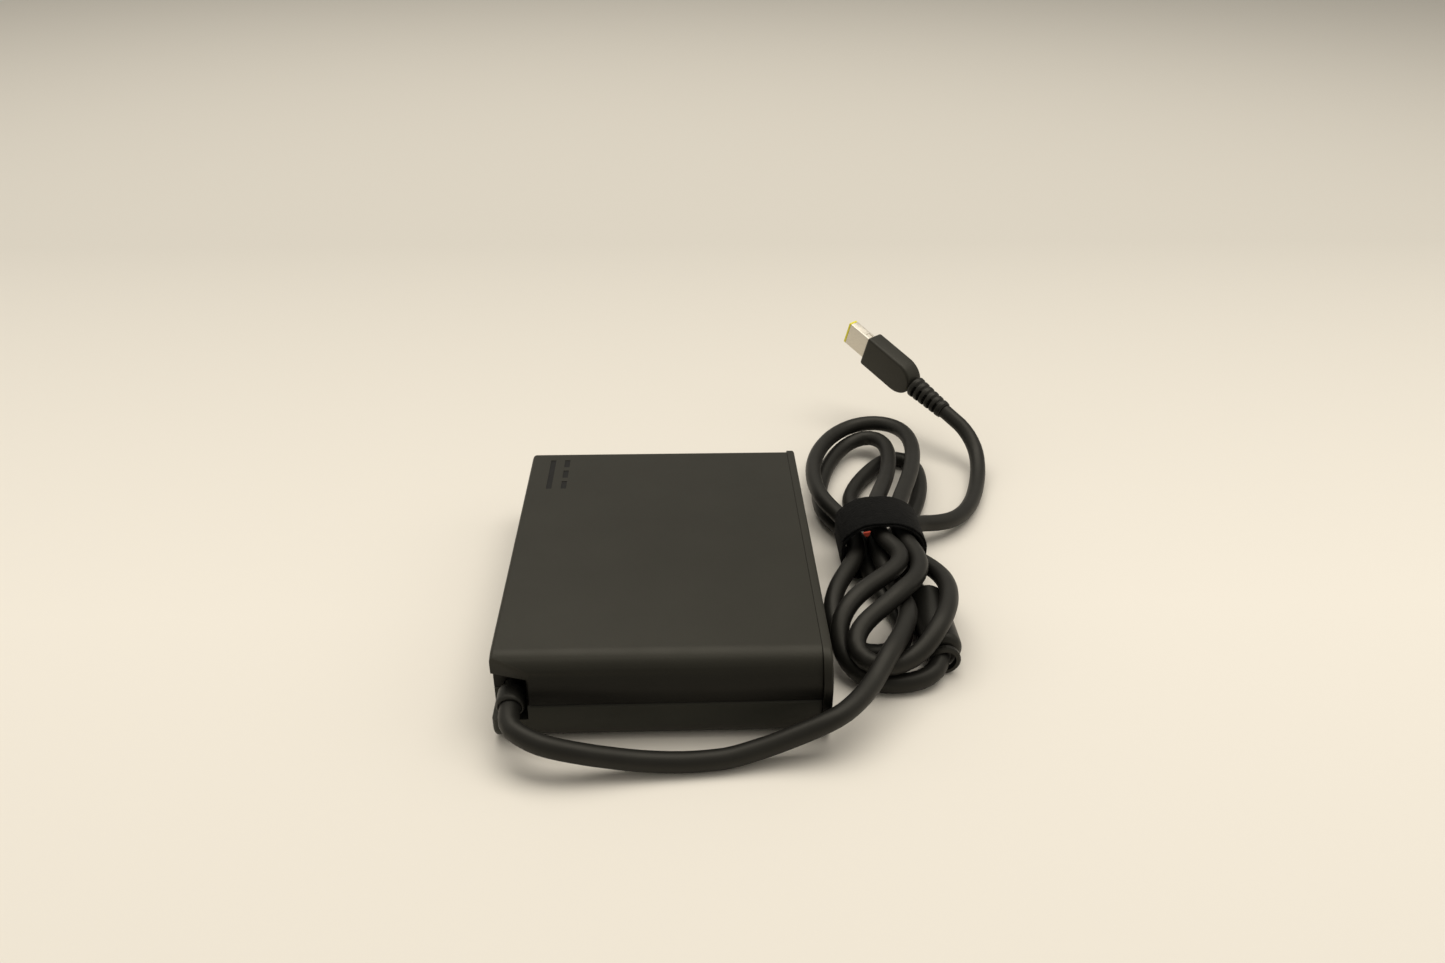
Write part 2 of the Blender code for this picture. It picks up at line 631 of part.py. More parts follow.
def make_hank(parts, tools, mats):
    low, high = HANK_Z
    frame = Matrix.Translation(scaled((0, 0, (low + high) / 2)))
    hank = plate_from_outline("cord_hank", hank_outline(), high - low, frame, parts, mats["jacket"])
    cut(hank, strap_groove(tools))
    bead = box("bead_pocket", (BEAD_X - BEAD_D / 2 - 0.6, BEAD_Y[0] - 5, -2),
               (110, BEAD_Y[1] + 0.6, BEAD_D + 0.8), tools)
    cut(hank, hide_cutter(bead))


def make_bead(parts, mats):
    """The moulded ferrite filter on the lead, and the collar where its sleeve ends."""
    length = BEAD_Y[1] - BEAD_Y[0]
    r = BEAD_D / 2
    z = r + 0.15
    profile = [(0, length), (r - 2.2, length), (r - 0.6, length - 1.0), (r, length - 2.6), (r, 2.6),
               (r - 0.6, 1.0), (r - 2.2, 0), (0, 0)]
    start, end = (BEAD_X, BEAD_Y[0], z), (BEAD_X, BEAD_Y[1], z)
    turned("ferrite_bead", profile, axis_matrix(start, end), parts, mats["jacket"], 24)
    ring = [(3.7, 2.4), (4.8, 2.4), (5.3, 1.9), (5.3, 0.5), (4.8, 0), (3.7, 0), (3.7, 2.4)]
    collar_at = (BEAD_X, BEAD_Y[0] - 3.0, 5.5)
    turned("bead_collar", ring, axis_matrix(collar_at, (BEAD_X, 0, 5.5)), parts, mats["jacket"], 24)


def round_rect(x0, x1, z0, z1, radius, steps=6):
    points = []
    for cx, cz, a in ((x1 - radius, z1 - radius, 0), (x0 + radius, z1 - radius, 90),
                      (x0 + radius, z0 + radius, 180), (x1 - radius, z0 + radius, 270)):
        points += quarter((cx, cz), (radius, radius), a, a + 90, steps)
    return points


def make_strap(parts, mats):
    """A hook-and-loop band round the waist of the hank, with a coloured tab at its end."""
    plate_from_outline("cord_strap", strap_ring(0), STRAP_Y[1] - STRAP_Y[0], strap_frame(), parts,
                       mats["strap"], (strap_ring(STRAP_THICK),))
    top = STRAP_Z[1]
    box("strap_tab", (72.0, STRAP_Y[0] - 1.9, top - 1.1), (76.0, STRAP_Y[0] - GAP, top - 0.1), parts,
        mats["tab"])


# ---------------------------------------------------------------- plug


def plug_frame():
    """Local +X runs out of the plug's tip, local +Z across its width, local +Y through it."""
    aim = Vector(PLUG_AIM).normalized()
    up = (Vector((0, 0, 1)) - aim * aim.z).normalized()
    side = up.cross(aim)
    base = Matrix((aim, side, up)).transposed().to_4x4()
    return Matrix.Translation(scaled(PLUG_START)) @ base @ Matrix.Rotation(PLUG_ROLL, 4, "X")


def plug_box(name, low, high, coll, material=None, bevel=0.0, segments=1):
    obj = box(name, low, high, coll, material, bevel, segments)
    obj.matrix_world = plug_frame()
    return obj


def make_plug_relief(parts, tools, mats):
    """A tapered sleeve with slots on alternate sides that let it bend."""
    profile = [(0, RELIEF_LEN), (4.9, RELIEF_LEN), (3.9, 1.2), (3.6, 0), (0, 0)]
    turn = plug_frame() @ Matrix.Rotation(math.radians(90), 4, "Y")
    relief = turned("plug_relief", profile, turn, parts, mats["jacket"], 20)
    for i in range(5):
        x = 2.6 + 3.1 * i
        for side in (-1, 1):
            y0, y1 = sorted((side * 2.6, side * 8.0))
            slot = plug_box("relief_slot_%d_%d" % (i, side), (x, y0, -2.7), (x + 1.3, y1, 2.7), tools)
            cut(relief, hide_cutter(slot))


def housing_outline():
    """Plug housing seen on its broad face: square shoulders in front, a round heel behind."""
    start, end, half = RELIEF_LEN + GAP, RELIEF_LEN + GAP + HOUSING_LEN, HOUSING_W / 2
    heel = quarter((start + 9.0, 0), (9.0, half), 90, 270, 12)
    return heel + [(end, -half), (end, half)]


def make_plug(parts, tools, mats):
    make_plug_relief(parts, tools, mats)
    frame = plug_frame()
    flat = frame @ Matrix.Rotation(math.radians(90), 4, "X")
    housing = plate_from_outline("plug_housing", housing_outline(), HOUSING_T, flat, parts, mats["jacket"])
    add_bevel(housing, 0.7, 2, 50)
    face = RELIEF_LEN + GAP + HOUSING_LEN
    seat = plug_box("shell_seat", (face - 4, -SHELL_T / 2 - GAP, -SHELL_W / 2 - GAP),
                    (face + 4, SHELL_T / 2 + GAP, SHELL_W / 2 + GAP), tools)
    cut(housing, hide_cutter(seat))
    tip = face + SHELL_LEN
    wall = 0.45
    shell = plug_box("plug_shell", (face - 3.5, -SHELL_T / 2, -SHELL_W / 2),
                     (tip, SHELL_T / 2, SHELL_W / 2), parts, mats["nickel"], 0.25)
    bore = plug_box("shell_bore", (face - 2.5, -SHELL_T / 2 + wall, -SHELL_W / 2 + wall),
                    (tip + 3, SHELL_T / 2 - wall, SHELL_W / 2 - wall), tools)
    cut(shell, hide_cutter(bore))
    slot = plug_box("shell_slot", (face + 0.8, -1.0, SHELL_W / 2 - 2), (face + 3.6, 1.0, SHELL_W / 2 + 2),
                    tools)
    cut(shell, hide_cutter(slot))
    make_plug_core(face, tip, wall + GAP, parts, tools, mats)


def make_plug_core(face, tip, inset, parts, tools, mats):
    """The yellow insulator with its rim at the tip, and the contact blade inside it."""
    half_t, half_w = SHELL_T / 2 - inset, SHELL_W / 2 - inset
    body = plug_box("plug_insulator", (face - 2.2, -half_t, -half_w), (tip + 0.6, half_t, half_w),
                    parts, mats["yellow"])
    rim = plug_box("insulator_rim", (tip + GAP, -SHELL_T / 2, -SHELL_W / 2),
                   (tip + 1.1, SHELL_T / 2, SHELL_W / 2), tools)
    cut(body, hide_cutter(rim), "UNION")
    mouth = plug_box("insulator_mouth", (face, -half_t + 0.5, -half_w + 0.8),
                     (tip + 4, half_t - 0.5, half_w - 0.8), tools)
    cut(body, hide_cutter(mouth))
    plug_box("plug_contact", (face + GAP, -0.35, -1.2), (tip - 1.5, 0.35, 1.2), parts, mats["brass"])


# ---------------------------------------------------------------- assembly


def main():
    clear_scene()
    parts = make_collection("laptop_power_adapter")
    tools = make_collection("cutters")
    mats = make_palette()
    make_covers(parts, tools, mats)
    make_end_cap(parts, mats)
    make_feet(parts, mats)
    make_label(parts, mats)
    make_inlet(parts, tools, mats)
    make_sheets(parts, mats)
    make_filter_stage(parts, mats)
    make_power_stage(parts, tools, mats)
    make_output_stage(parts, mats)
    make_wires(parts, mats)
    make_boot(parts, mats)
    tube("output_lead", LEAD_ROUTE, CORD_D, parts, mats["jacket"])
    make_hank(parts, tools, mats)
    tube("plug_tail", TAIL_ROUTE, CORD_D, parts, mats["jacket"])
    make_bead(parts, mats)
    make_strap(parts, mats)
    make_plug(parts, tools, mats)


main()
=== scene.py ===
"""Looks of the laptop power adapter: moulded case, tied-up output lead, strap, filter bead and plug.

Sizes and places are in millimetres, which MM turns into metres; a comment says where a value is in
metres. The case, the strap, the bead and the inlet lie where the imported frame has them.
"""
import math

import bmesh
import bpy
import numpy as np
from mathutils import Matrix, Vector


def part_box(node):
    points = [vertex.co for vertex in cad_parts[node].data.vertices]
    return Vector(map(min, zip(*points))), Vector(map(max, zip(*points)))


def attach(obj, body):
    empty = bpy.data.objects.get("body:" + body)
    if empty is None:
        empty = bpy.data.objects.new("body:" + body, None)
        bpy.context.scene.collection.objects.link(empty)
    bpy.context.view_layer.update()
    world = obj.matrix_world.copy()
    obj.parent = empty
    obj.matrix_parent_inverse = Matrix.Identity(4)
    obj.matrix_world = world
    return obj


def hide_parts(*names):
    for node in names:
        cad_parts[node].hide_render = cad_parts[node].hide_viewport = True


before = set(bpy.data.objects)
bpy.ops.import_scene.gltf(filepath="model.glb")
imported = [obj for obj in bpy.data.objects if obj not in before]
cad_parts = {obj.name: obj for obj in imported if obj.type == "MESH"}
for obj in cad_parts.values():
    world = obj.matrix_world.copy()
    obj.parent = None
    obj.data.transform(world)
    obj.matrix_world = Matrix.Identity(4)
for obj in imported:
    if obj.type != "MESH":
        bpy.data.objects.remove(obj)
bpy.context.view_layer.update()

MM = 0.001


def box_mm(node):
    """The low and high corners of a CAD node's box."""
    low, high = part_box(node)
    return [v / MM for v in low], [v / MM for v in high]


CASE_LOW, CASE_HIGH = box_mm("top_cover")
BASE_LOW, BASE_HIGH = box_mm("bottom_cover")
CAP_LOW, CAP_HIGH = box_mm("end_cap")
STRAP_LOW, STRAP_HIGH = box_mm("cord_strap")
BEAD_LOW, BEAD_HIGH = box_mm("ferrite_bead")
INLET_LOW, INLET_HIGH = box_mm("ac_inlet_housing")

# ------------------------ the cord's route (mm)
CORD_D = 6.4
CORD_STEP = 3.2          # spacing of the points on the settled centre line
CORD_ROUNDNESS = 7
LEAD_ROUTE = [
    (-45.2, -66.4, 13.25), (-45.1, -71.2, 12.6), (-43.7, -75.0, 12.2), (-40.2, -77.8, 11.6),
    (-35.6, -80.0, 10.7), (-30.0, -81.0, 9.5), (-24.0, -81.4, 8.2), (-18.0, -81.4, 6.8),
    (-6.5, -81.2, 4.6), (5.1, -80.8, 3.4), (13.9, -80.2, 3.3), (20.7, -79.4, 3.7),
    (30.5, -77.5, 5.6), (36.3, -76.4, 7.2), (41.0, -75.5, 8.7), (45.2, -74.6, 10.0),
    (49.2, -73.4, 11.2), (53.2, -71.2, 11.9), (57.2, -67.6, 12.3), (61.4, -62.6, 12.6),
    (65.2, -56.9, 12.9), (67.4, -52.8, 13.0),
]
OVER_HANK = [
    (70.6, -47.8, 13.5), (74.0, -42.2, 14.4), (77.0, -36.8, 15.3), (79.4, -31.0, 15.6),
    (81.2, -24.4, 14.8), (82.0, -16.5, 13.0), (81.4, -8.0, 11.3), (80.2, 1.0, 10.9), (78.9, 9.0, 11.3),
]
REAR_LOOP_LOW = [
    (77.2, 42.0, 10.2), (75.2, 51.0, 7.8), (74.3, 60.0, 5.6), (75.0, 69.0, 4.0), (77.8, 78.0, 3.4),
    (82.6, 87.5, 3.3), (89.2, 97.0, 3.3), (96.4, 104.5, 3.3), (103.0, 105.0, 3.3), (106.4, 98.0, 3.3),
    (106.6, 88.0, 3.3), (105.0, 77.0, 3.3), (101.6, 66.0, 3.3), (97.0, 55.0, 3.3), (91.9, 45.6, 3.6),
    (88.0, 39.4, 4.7),
]
NEAR_LOOP_BEAD = [
    (86.5, 10.0, 5.4), (88.6, 4.0, 5.8), (90.8, -2.0, 6.3), (91.6, -9.0, 6.6), (91.6, -20.0, 6.65),
    (91.6, -32.0, 6.5), (90.4, -38.4, 5.4), (86.8, -42.8, 4.2), (81.4, -45.6, 3.4), (75.0, -46.8, 3.3),
    (68.0, -46.0, 3.5), (62.2, -42.2, 4.8), (58.6, -36.6, 7.8), (57.4, -31.0, 11.2), (59.2, -25.3, 14.6),
    (64.5, -18.6, 17.2), (71.4, -11.6, 18.2), (78.4, -5.0, 18.4), (83.4, 2.0, 18.4), (83.6, 9.0, 18.4),
]
REAR_LOOP_MIDDLE = [
    (80.8, 44.0, 17.4), (84.6, 56.0, 15.5), (88.6, 68.6, 13.4), (92.0, 81.5, 11.5), (94.4, 95.0, 10.2),
    (94.4, 107.5, 9.4), (90.4, 116.5, 8.2), (83.4, 116.4, 6.8), (76.6, 110.0, 5.6), (71.0, 100.5, 4.8),
    (66.4, 89.0, 4.3), (63.6, 77.0, 4.2), (62.5, 65.5, 4.2), (64.3, 54.6, 4.3), (68.5, 45.4, 4.8),
]
NEAR_LOOP_FLOOR = [
    (75.4, 9.0, 5.4), (77.4, 0.0, 4.6), (80.2, -9.0, 3.6), (81.6, -17.6, 3.3), (80.0, -26.0, 3.3),
    (74.2, -31.2, 3.3), (66.6, -31.2, 3.4), (60.5, -26.4, 4.2), (57.9, -18.6, 6.2), (58.4, -9.0, 8.6),
    (61.8, 0.5, 10.2), (66.6, 9.3, 11.2),
]
REAR_LOOP_TOP = [
    (67.6, 43.5, 11.4), (64.2, 52.0, 11.1), (61.6, 62.0, 10.9), (60.6, 74.0, 10.8), (62.0, 88.0, 10.7),
    (66.6, 102.0, 10.8), (74.6, 114.6, 11.0), (84.8, 122.0, 11.6), (95.4, 121.6, 12.4),
    (102.4, 113.8, 13.2), (104.4, 101.0, 14.0), (102.8, 86.0, 14.9), (98.8, 70.0, 15.8),
    (93.8, 55.5, 16.6), (89.8, 44.0, 17.0),
]
NEAR_LOOP_TOP = [
    (89.2, 9.0, 17.3), (89.6, 1.0, 17.6), (87.0, -7.6, 18.0), (81.6, -15.6, 18.0), (74.8, -22.8, 17.4),
    (68.0, -28.8, 16.2), (63.0, -34.4, 14.4), (61.4, -40.0, 12.2), (64.2, -45.0, 10.6), (70.4, -46.4, 9.9),
    (77.4, -44.6, 10.2), (83.6, -40.8, 12.0), (88.8, -35.4, 14.8), (93.0, -27.8, 16.5),
    (96.2, -18.0, 16.2), (97.6, -7.0, 14.6), (96.4, 3.0, 12.6), (92.6, 11.4, 11.4),
]
TAIL_ROUTE = [
    (90.3, 33.4, 10.8), (93.6, 38.4, 9.9), (98.6, 42.6, 8.3), (105.0, 45.4, 6.8), (111.4, 49.2, 5.5),
    (117.0, 54.8, 4.4), (122.0, 62.2, 3.7), (126.4, 71.4, 3.4), (130.0, 81.6, 3.8), (132.6, 91.6, 5.6),
    (133.4, 100.2, 8.6), (132.0, 107.0, 12.0), (129.2, 112.2, 15.0), (126.0, 116.0, 17.0),
    (122.7, 119.8, 18.95),
]
# Where each run lies under the strap, (x, z), at the three places PASS_Y along it.
PASS_Y = (17.0, 26.0, 35.0)
PASS_LEAD = (78.2, 11.6)
PASS_BEAD = (86.0, 5.4)
PASS_MIDDLE = (78.4, 18.2)
PASS_FLOOR = (74.5, 5.5)
PASS_LEFT = (70.3, 11.4)
PASS_TOP = (87.0, 17.0)
PASS_TAIL = (89.2, 11.0)

# ------------------------ settling the cord


def strap_pass(place, away):
    """The points of one run under the strap, which goes away from the near end or comes back to it."""
    x, z = place
    points = [(x, y, z) for y in PASS_Y]
    return points if away else points[::-1]


def cord_route():
    """The whole centre line as chosen, boot to plug."""
    return (LEAD_ROUTE + OVER_HANK + strap_pass(PASS_LEAD, True)
            + REAR_LOOP_LOW + strap_pass(PASS_BEAD, False)
            + NEAR_LOOP_BEAD + strap_pass(PASS_MIDDLE, True)
            + REAR_LOOP_MIDDLE + strap_pass(PASS_FLOOR, False)
            + NEAR_LOOP_FLOOR + strap_pass(PASS_LEFT, True)
            + REAR_LOOP_TOP + strap_pass(PASS_TOP, False)
            + NEAR_LOOP_TOP + strap_pass(PASS_TAIL, True)[:2]
            + TAIL_ROUTE)


def smooth_curve(route, per_span=12):
    """A Catmull-Rom curve through the route, whose end points are kept."""
    pts = np.array(route, dtype=float)
    pts = np.vstack([2 * pts[0] - pts[1], pts, 2 * pts[-1] - pts[-2]])
    out = []
    for a, b, c, d in zip(pts, pts[1:], pts[2:], pts[3:]):
        for k in range(per_span):
            t = k / per_span
            out.append(0.5 * (2 * b + (c - a) * t + (2 * a - 5 * b + 4 * c - d) * t * t
                              + (3 * b - a - 3 * c + d) * t ** 3))
    out.append(pts[-2])
    return np.array(out)


def evenly(points, step):
    """The same curve with points a near-constant step apart."""
    lengths = np.r_[0, np.cumsum(np.linalg.norm(np.diff(points, axis=0), axis=1))]
    count = int(round(lengths[-1] / step))
    at = np.linspace(0, lengths[-1], count + 1)
    return np.stack([np.interp(at, lengths, points[:, k]) for k in range(3)], 1)


HELD_START = 125.0       # the lead in front of the case keeps its chosen route
HELD_END = 150.0         # and so does the tail that carries the plug
RELEASE = 20.0           # length over which a held end comes free
TOUCH = CORD_D + 0.08    # distance between two centre lines that touch
NEIGHBOURS = int(2.2 * CORD_D / CORD_STEP)    # points that lie too close along the cord to cross
SETTLE_ROUNDS = 400
PUSH = 0.25              # share of an overlap that each of two runs gives way by in a round
CROWDING = 0.6           # how much less a point moves for each further run that pushes it
STIFFNESS = 0.24
HOMING = 0.01            # share of the way back to its chosen place that a point moves in a round
SKIN = 0.1               # gap kept between the cord and the bead or the strap
FLOOR_GAP = 0.05
CASE_CLEAR_X = CAP_HIGH[0] + CORD_D / 2 + 0.4
STRAP_T = 1.8            # the strap where it is doubled
STRAP_REACH = STRAP_T + CORD_D / 2 + SKIN     # from the strap's outside to a centre line in it
STRAP_BESIDE_X = 2.0     # a point this far beside the strap still counts as held by it
STRAP_BESIDE_Y = 1.0
BEAD_X = (BEAD_LOW[0] + BEAD_HIGH[0]) / 2
BEAD_R = (BEAD_HIGH[0] - BEAD_LOW[0]) / 2
BEAD_Z = (BEAD_LOW[2] + BEAD_HIGH[2]) / 2
BEAD_ROUND = 3.0         # radius of its rounded ends
BEAD_REACH = BEAD_R + CORD_D / 2 + SKIN
# A point belongs to the run through the bead if it is this near its axis, its ends and the floor.
BORE_SIDE = 3.0
BORE_NEAR = 4.0
BORE_FAR = 6.0
BORE_TOP = 9.0


def freedom(count):
    """How freely each point moves, from 0 in the two held ends to 1 in the hank."""
    idx = np.arange(count)
    free = np.clip((idx * CORD_STEP - HELD_START) / RELEASE, 0, 1)
    free *= np.clip(((count - 1 - idx) * CORD_STEP - HELD_END) / RELEASE, 0, 1)
    return free[:, None]


def runs_through_bead(path):
    """Marks the points of the run that goes through the bead."""
    x, y, z = path.T
    return ((np.abs(x - BEAD_X) < BORE_SIDE) & (y > BEAD_LOW[1] - BORE_NEAR)
            & (y < BEAD_HIGH[1] + BORE_FAR) & (z < BORE_TOP))


def spread(path, apart):
    """How far each point moves so that runs that cross come a diameter apart."""
    gaps = path[:, None] - path[None]
    dist = np.linalg.norm(gaps, axis=2)
    i, j = np.nonzero(apart & (dist < TOUCH))
    push = gaps[i, j] / np.maximum(dist[i, j], 1e-6)[:, None] * (TOUCH - dist[i, j])[:, None] * PUSH
    move = np.zeros_like(path)
    hits = np.zeros(len(path))
    np.add.at(move, i, push)
    np.add.at(move, j, -push)
    np.add.at(hits, i, 1)
    np.add.at(hits, j, 1)
    return move / np.maximum(1, hits * CROWDING)[:, None]


def unbend(path):
    """How far each point moves to share its bend with its neighbours."""
    bend = np.zeros_like(path)
    bend[2:-2] = (-path[:-4] + 4 * path[1:-3] - 6 * path[2:-2] + 4 * path[3:-1] - path[4:]) / 6
    return bend


def keep_clear(path, in_bore):
    """Move points, in place, out of the bead, up to the floor, off the case and into the strap."""
    nearest = np.stack([np.full(len(path), BEAD_X),
                        np.clip(path[:, 1], BEAD_LOW[1] + BEAD_ROUND, BEAD_HIGH[1] - BEAD_ROUND),
                        np.full(len(path), BEAD_Z)], 1)
    off = path - nearest
    far = np.linalg.norm(off, axis=1)
    hit = (far < BEAD_REACH) & ~in_bore
    path[hit] = nearest[hit] + off[hit] / far[hit][:, None] * BEAD_REACH
    path[:, 2] = np.maximum(path[:, 2], CORD_D / 2 + FLOOR_GAP)
    beside = (path[:, 1] > CAP_LOW[1]) & (path[:, 0] > CAP_HIGH[0])
    path[beside, 0] = np.maximum(path[beside, 0], CASE_CLEAR_X)
    held = ((path[:, 1] > STRAP_LOW[1] - STRAP_BESIDE_Y) & (path[:, 1] < STRAP_HIGH[1] + STRAP_BESIDE_Y)
            & (path[:, 0] < STRAP_HIGH[0] + STRAP_BESIDE_X))
    for axis in (0, 2):
        path[held, axis] = np.clip(path[held, axis], STRAP_LOW[axis] + STRAP_REACH,
                                   STRAP_HIGH[axis] - STRAP_REACH)


def settle(path):
    """Push crossing runs a diameter apart, keep bends smooth, and stay on the floor and in the strap."""
    chosen = path.copy()
    idx = np.arange(len(path))
    apart = np.triu(np.abs(idx[:, None] - idx[None]) > NEIGHBOURS, 1)
    free = freedom(len(path))
    in_bore = runs_through_bead(path)
    for _ in range(SETTLE_ROUNDS):
        path = path + spread(path, apart) * free
        path = path + (unbend(path) * STIFFNESS + HOMING * (chosen - path)) * free
        keep_clear(path, in_bore)
    return path


# ------------------------ materials


WARM = (1.0, 0.97, 0.86, 1.0)


def shader_of(mat):
    return mat.node_tree.nodes["Principled BSDF"]


def material(name, rgb, roughness, metallic=0.0, specular=0.5, specular_tint=(1.0, 1.0, 1.0, 1.0)):
    mat = bpy.data.materials.new(name)
    mat.use_nodes = True
    shader = shader_of(mat)
    shader.inputs["Base Color"].default_value = (*rgb, 1.0)
    shader.inputs["Roughness"].default_value = roughness
    shader.inputs["Metallic"].default_value = metallic
    shader.inputs["Specular IOR Level"].default_value = specular
    shader.inputs["Specular Tint"].default_value = specular_tint
    return mat


def node(mat, kind, inputs=(), **settings):
    """A shader node with values for its inputs and for its own settings."""
    made = mat.node_tree.nodes.new(kind)
    for name, value in dict(inputs).items():
        made.inputs[name].default_value = value
    for name, value in settings.items():
        setattr(made, name, value)
    return made


def link(mat, out, into):
    mat.node_tree.links.new(out, into)


def object_coords(mat):
    return node(mat, "ShaderNodeTexCoord").outputs["Object"]


def tint(mat, factor, dark, light, low=0.3, high=0.7):
    """Colour that runs between two close tones."""
    ramp = node(mat, "ShaderNodeValToRGB")
    for stop, position, rgb in zip(ramp.color_ramp.elements, (low, high), (dark, light)):
        stop.position = position
        stop.color = (*rgb, 1)
    link(mat, factor, ramp.inputs["Fac"])
    link(mat, ramp.outputs["Color"], shader_of(mat).inputs["Base Color"])


def roughen(mat, factor, low, high):
    """Roughness that varies between two values."""
    span = node(mat, "ShaderNodeMapRange", {"To Min": low, "To Max": high})
    link(mat, factor, span.inputs["Value"])
    link(mat, span.outputs["Result"], shader_of(mat).inputs["Roughness"])


def bump(mat, height, strength, distance, under=None):
    """Relief of a depth in metres, laid over another bump if one is given."""
    made = node(mat, "ShaderNodeBump", {"Strength": strength, "Distance": distance})
    link(mat, height, made.inputs["Height"])
    if under is not None:
        link(mat, under.outputs["Normal"], made.inputs["Normal"])
    link(mat, made.outputs["Normal"], shader_of(mat).inputs["Normal"])
    return made


def noise(mat, scale, detail=3.0, rough=0.5):
    """Noise with scale cells in a metre."""
    made = node(mat, "ShaderNodeTexNoise", {"Scale": scale, "Detail": detail, "Roughness": rough})
    link(mat, object_coords(mat), made.inputs["Vector"])
    return made.outputs["Fac"]


def moulded_plastic(name, dark, light, roughness, grain=2600.0):
    """Injection-moulded plastic: a fine spark-eroded grain and a faint cloudiness."""
    mat = material(name, dark, roughness, specular=0.25, specular_tint=WARM)
    tint(mat, noise(mat, 45.0, detail=4.0), dark, light)
    roughen(mat, noise(mat, 110.0, detail=2.0), roughness - 0.05, roughness + 0.06)
    grain_depth = 0.00006
    coarse = bump(mat, noise(mat, grain * 0.4, detail=2.0), strength=0.25, distance=grain_depth)
    bump(mat, noise(mat, grain, detail=2.0, rough=0.6), 0.5, grain_depth, under=coarse)
    return mat


def paint_shade_by_height(mat, low, high, least):
    """Painted shade: let the colour fall to a share of itself from the height high down to low (metres), as
    less light falls there.
    """
    base_color = shader_of(mat).inputs["Base Color"]
    colour = base_color.links[0].from_socket
    split = node(mat, "ShaderNodeSeparateXYZ")
    link(mat, object_coords(mat), split.inputs["Vector"])
    share = node(mat, "ShaderNodeMapRange", {"From Min": low, "From Max": high, "To Min": least})
    link(mat, split.outputs["Z"], share.inputs["Value"])
    scaled = node(mat, "ShaderNodeVectorMath", operation="SCALE")
    link(mat, colour, scaled.inputs["Vector"])
    link(mat, share.outputs["Result"], scaled.inputs["Scale"])
    link(mat, scaled.outputs["Vector"], base_color)


def case_material():
    """The upper shell's plastic, with painted shade: paler on top and ever darker down its sides, where
    less light falls.
    """
    mat = moulded_plastic("case_plastic", (0.0162, 0.0155, 0.0112), (0.0190, 0.0182, 0.0134), 0.44)
    paint_shade_by_height(mat, low=0.0205, high=0.0283, least=0.1)
    return mat


def cord_material():
    """Soft satin jacket with faint drag marks."""
    mat = material("cord_jacket", (0.012, 0.0115, 0.01), 0.45, specular=0.27, specular_tint=WARM)
    tint(mat, noise(mat, 60.0), (0.0088, 0.0084, 0.0072), (0.0128, 0.0124, 0.0108))
    roughen(mat, noise(mat, 160.0), 0.42, 0.54)
    bump(mat, noise(mat, 900.0, detail=2.0), 0.15, 0.00005)
    return mat


def fabric_material():
    """Hook-and-loop pile: near-black, with tiny tangled loops and a soft sheen."""
    mat = material("strap_fabric", (0.004, 0.004, 0.004), 0.95, specular=0.15)
    sheen = {"Sheen Weight": 0.07, "Sheen Roughness": 0.4, "Sheen Tint": (0.25, 0.24, 0.22, 1)}
    for name, value in sheen.items():
        shader_of(mat).inputs[name].default_value = value
    loops = node(mat, "ShaderNodeTexVoronoi", {"Scale": 1500.0})
    link(mat, object_coords(mat), loops.inputs["Vector"])
    tint(mat, noise(mat, 420.0, detail=4.0), (0.0018, 0.0018, 0.0017), (0.0046, 0.0046, 0.0042))
    first = bump(mat, loops.outputs["Distance"], 0.8, 0.0003)
    bump(mat, noise(mat, 700.0, detail=4.0), 0.5, 0.0002, under=first)
    return mat


def metal_material(name, rgb, roughness, stretch=(1, 1, 1)):
    """Plated or drawn metal, whose fine streaks are pressed together along stretched axes."""
    mat = material(name, rgb, roughness, metallic=1.0)
    mapping = node(mat, "ShaderNodeMapping", {"Scale": stretch})
    link(mat, object_coords(mat), mapping.inputs["Vector"])
    texture = node(mat, "ShaderNodeTexNoise", {"Scale": 500.0})
    link(mat, mapping.outputs["Vector"], texture.inputs["Vector"])
    streaks = texture.outputs["Fac"]
    roughen(mat, streaks, roughness - 0.06, roughness + 0.1)
    tint(mat, streaks, [0.9 * v for v in rgb], rgb)
    bump(mat, streaks, 0.15, 0.00003)
    return mat


def plain_material(name, dark, light, roughness, specular=0.5):
    """A calm surface with slight variation, for the inner pieces and small trim."""
    mat = material(name, dark, roughness, specular=specular)
    tint(mat, noise(mat, 180.0), dark, light)
    roughen(mat, noise(mat, 300.0, detail=2.0), roughness - 0.05, roughness + 0.08)
    bump(mat, noise(mat, 1500.0, detail=2.0), 0.2, 0.00004)
    return mat


RUBBER_GRAIN = 1800.0     # coarser than the case's

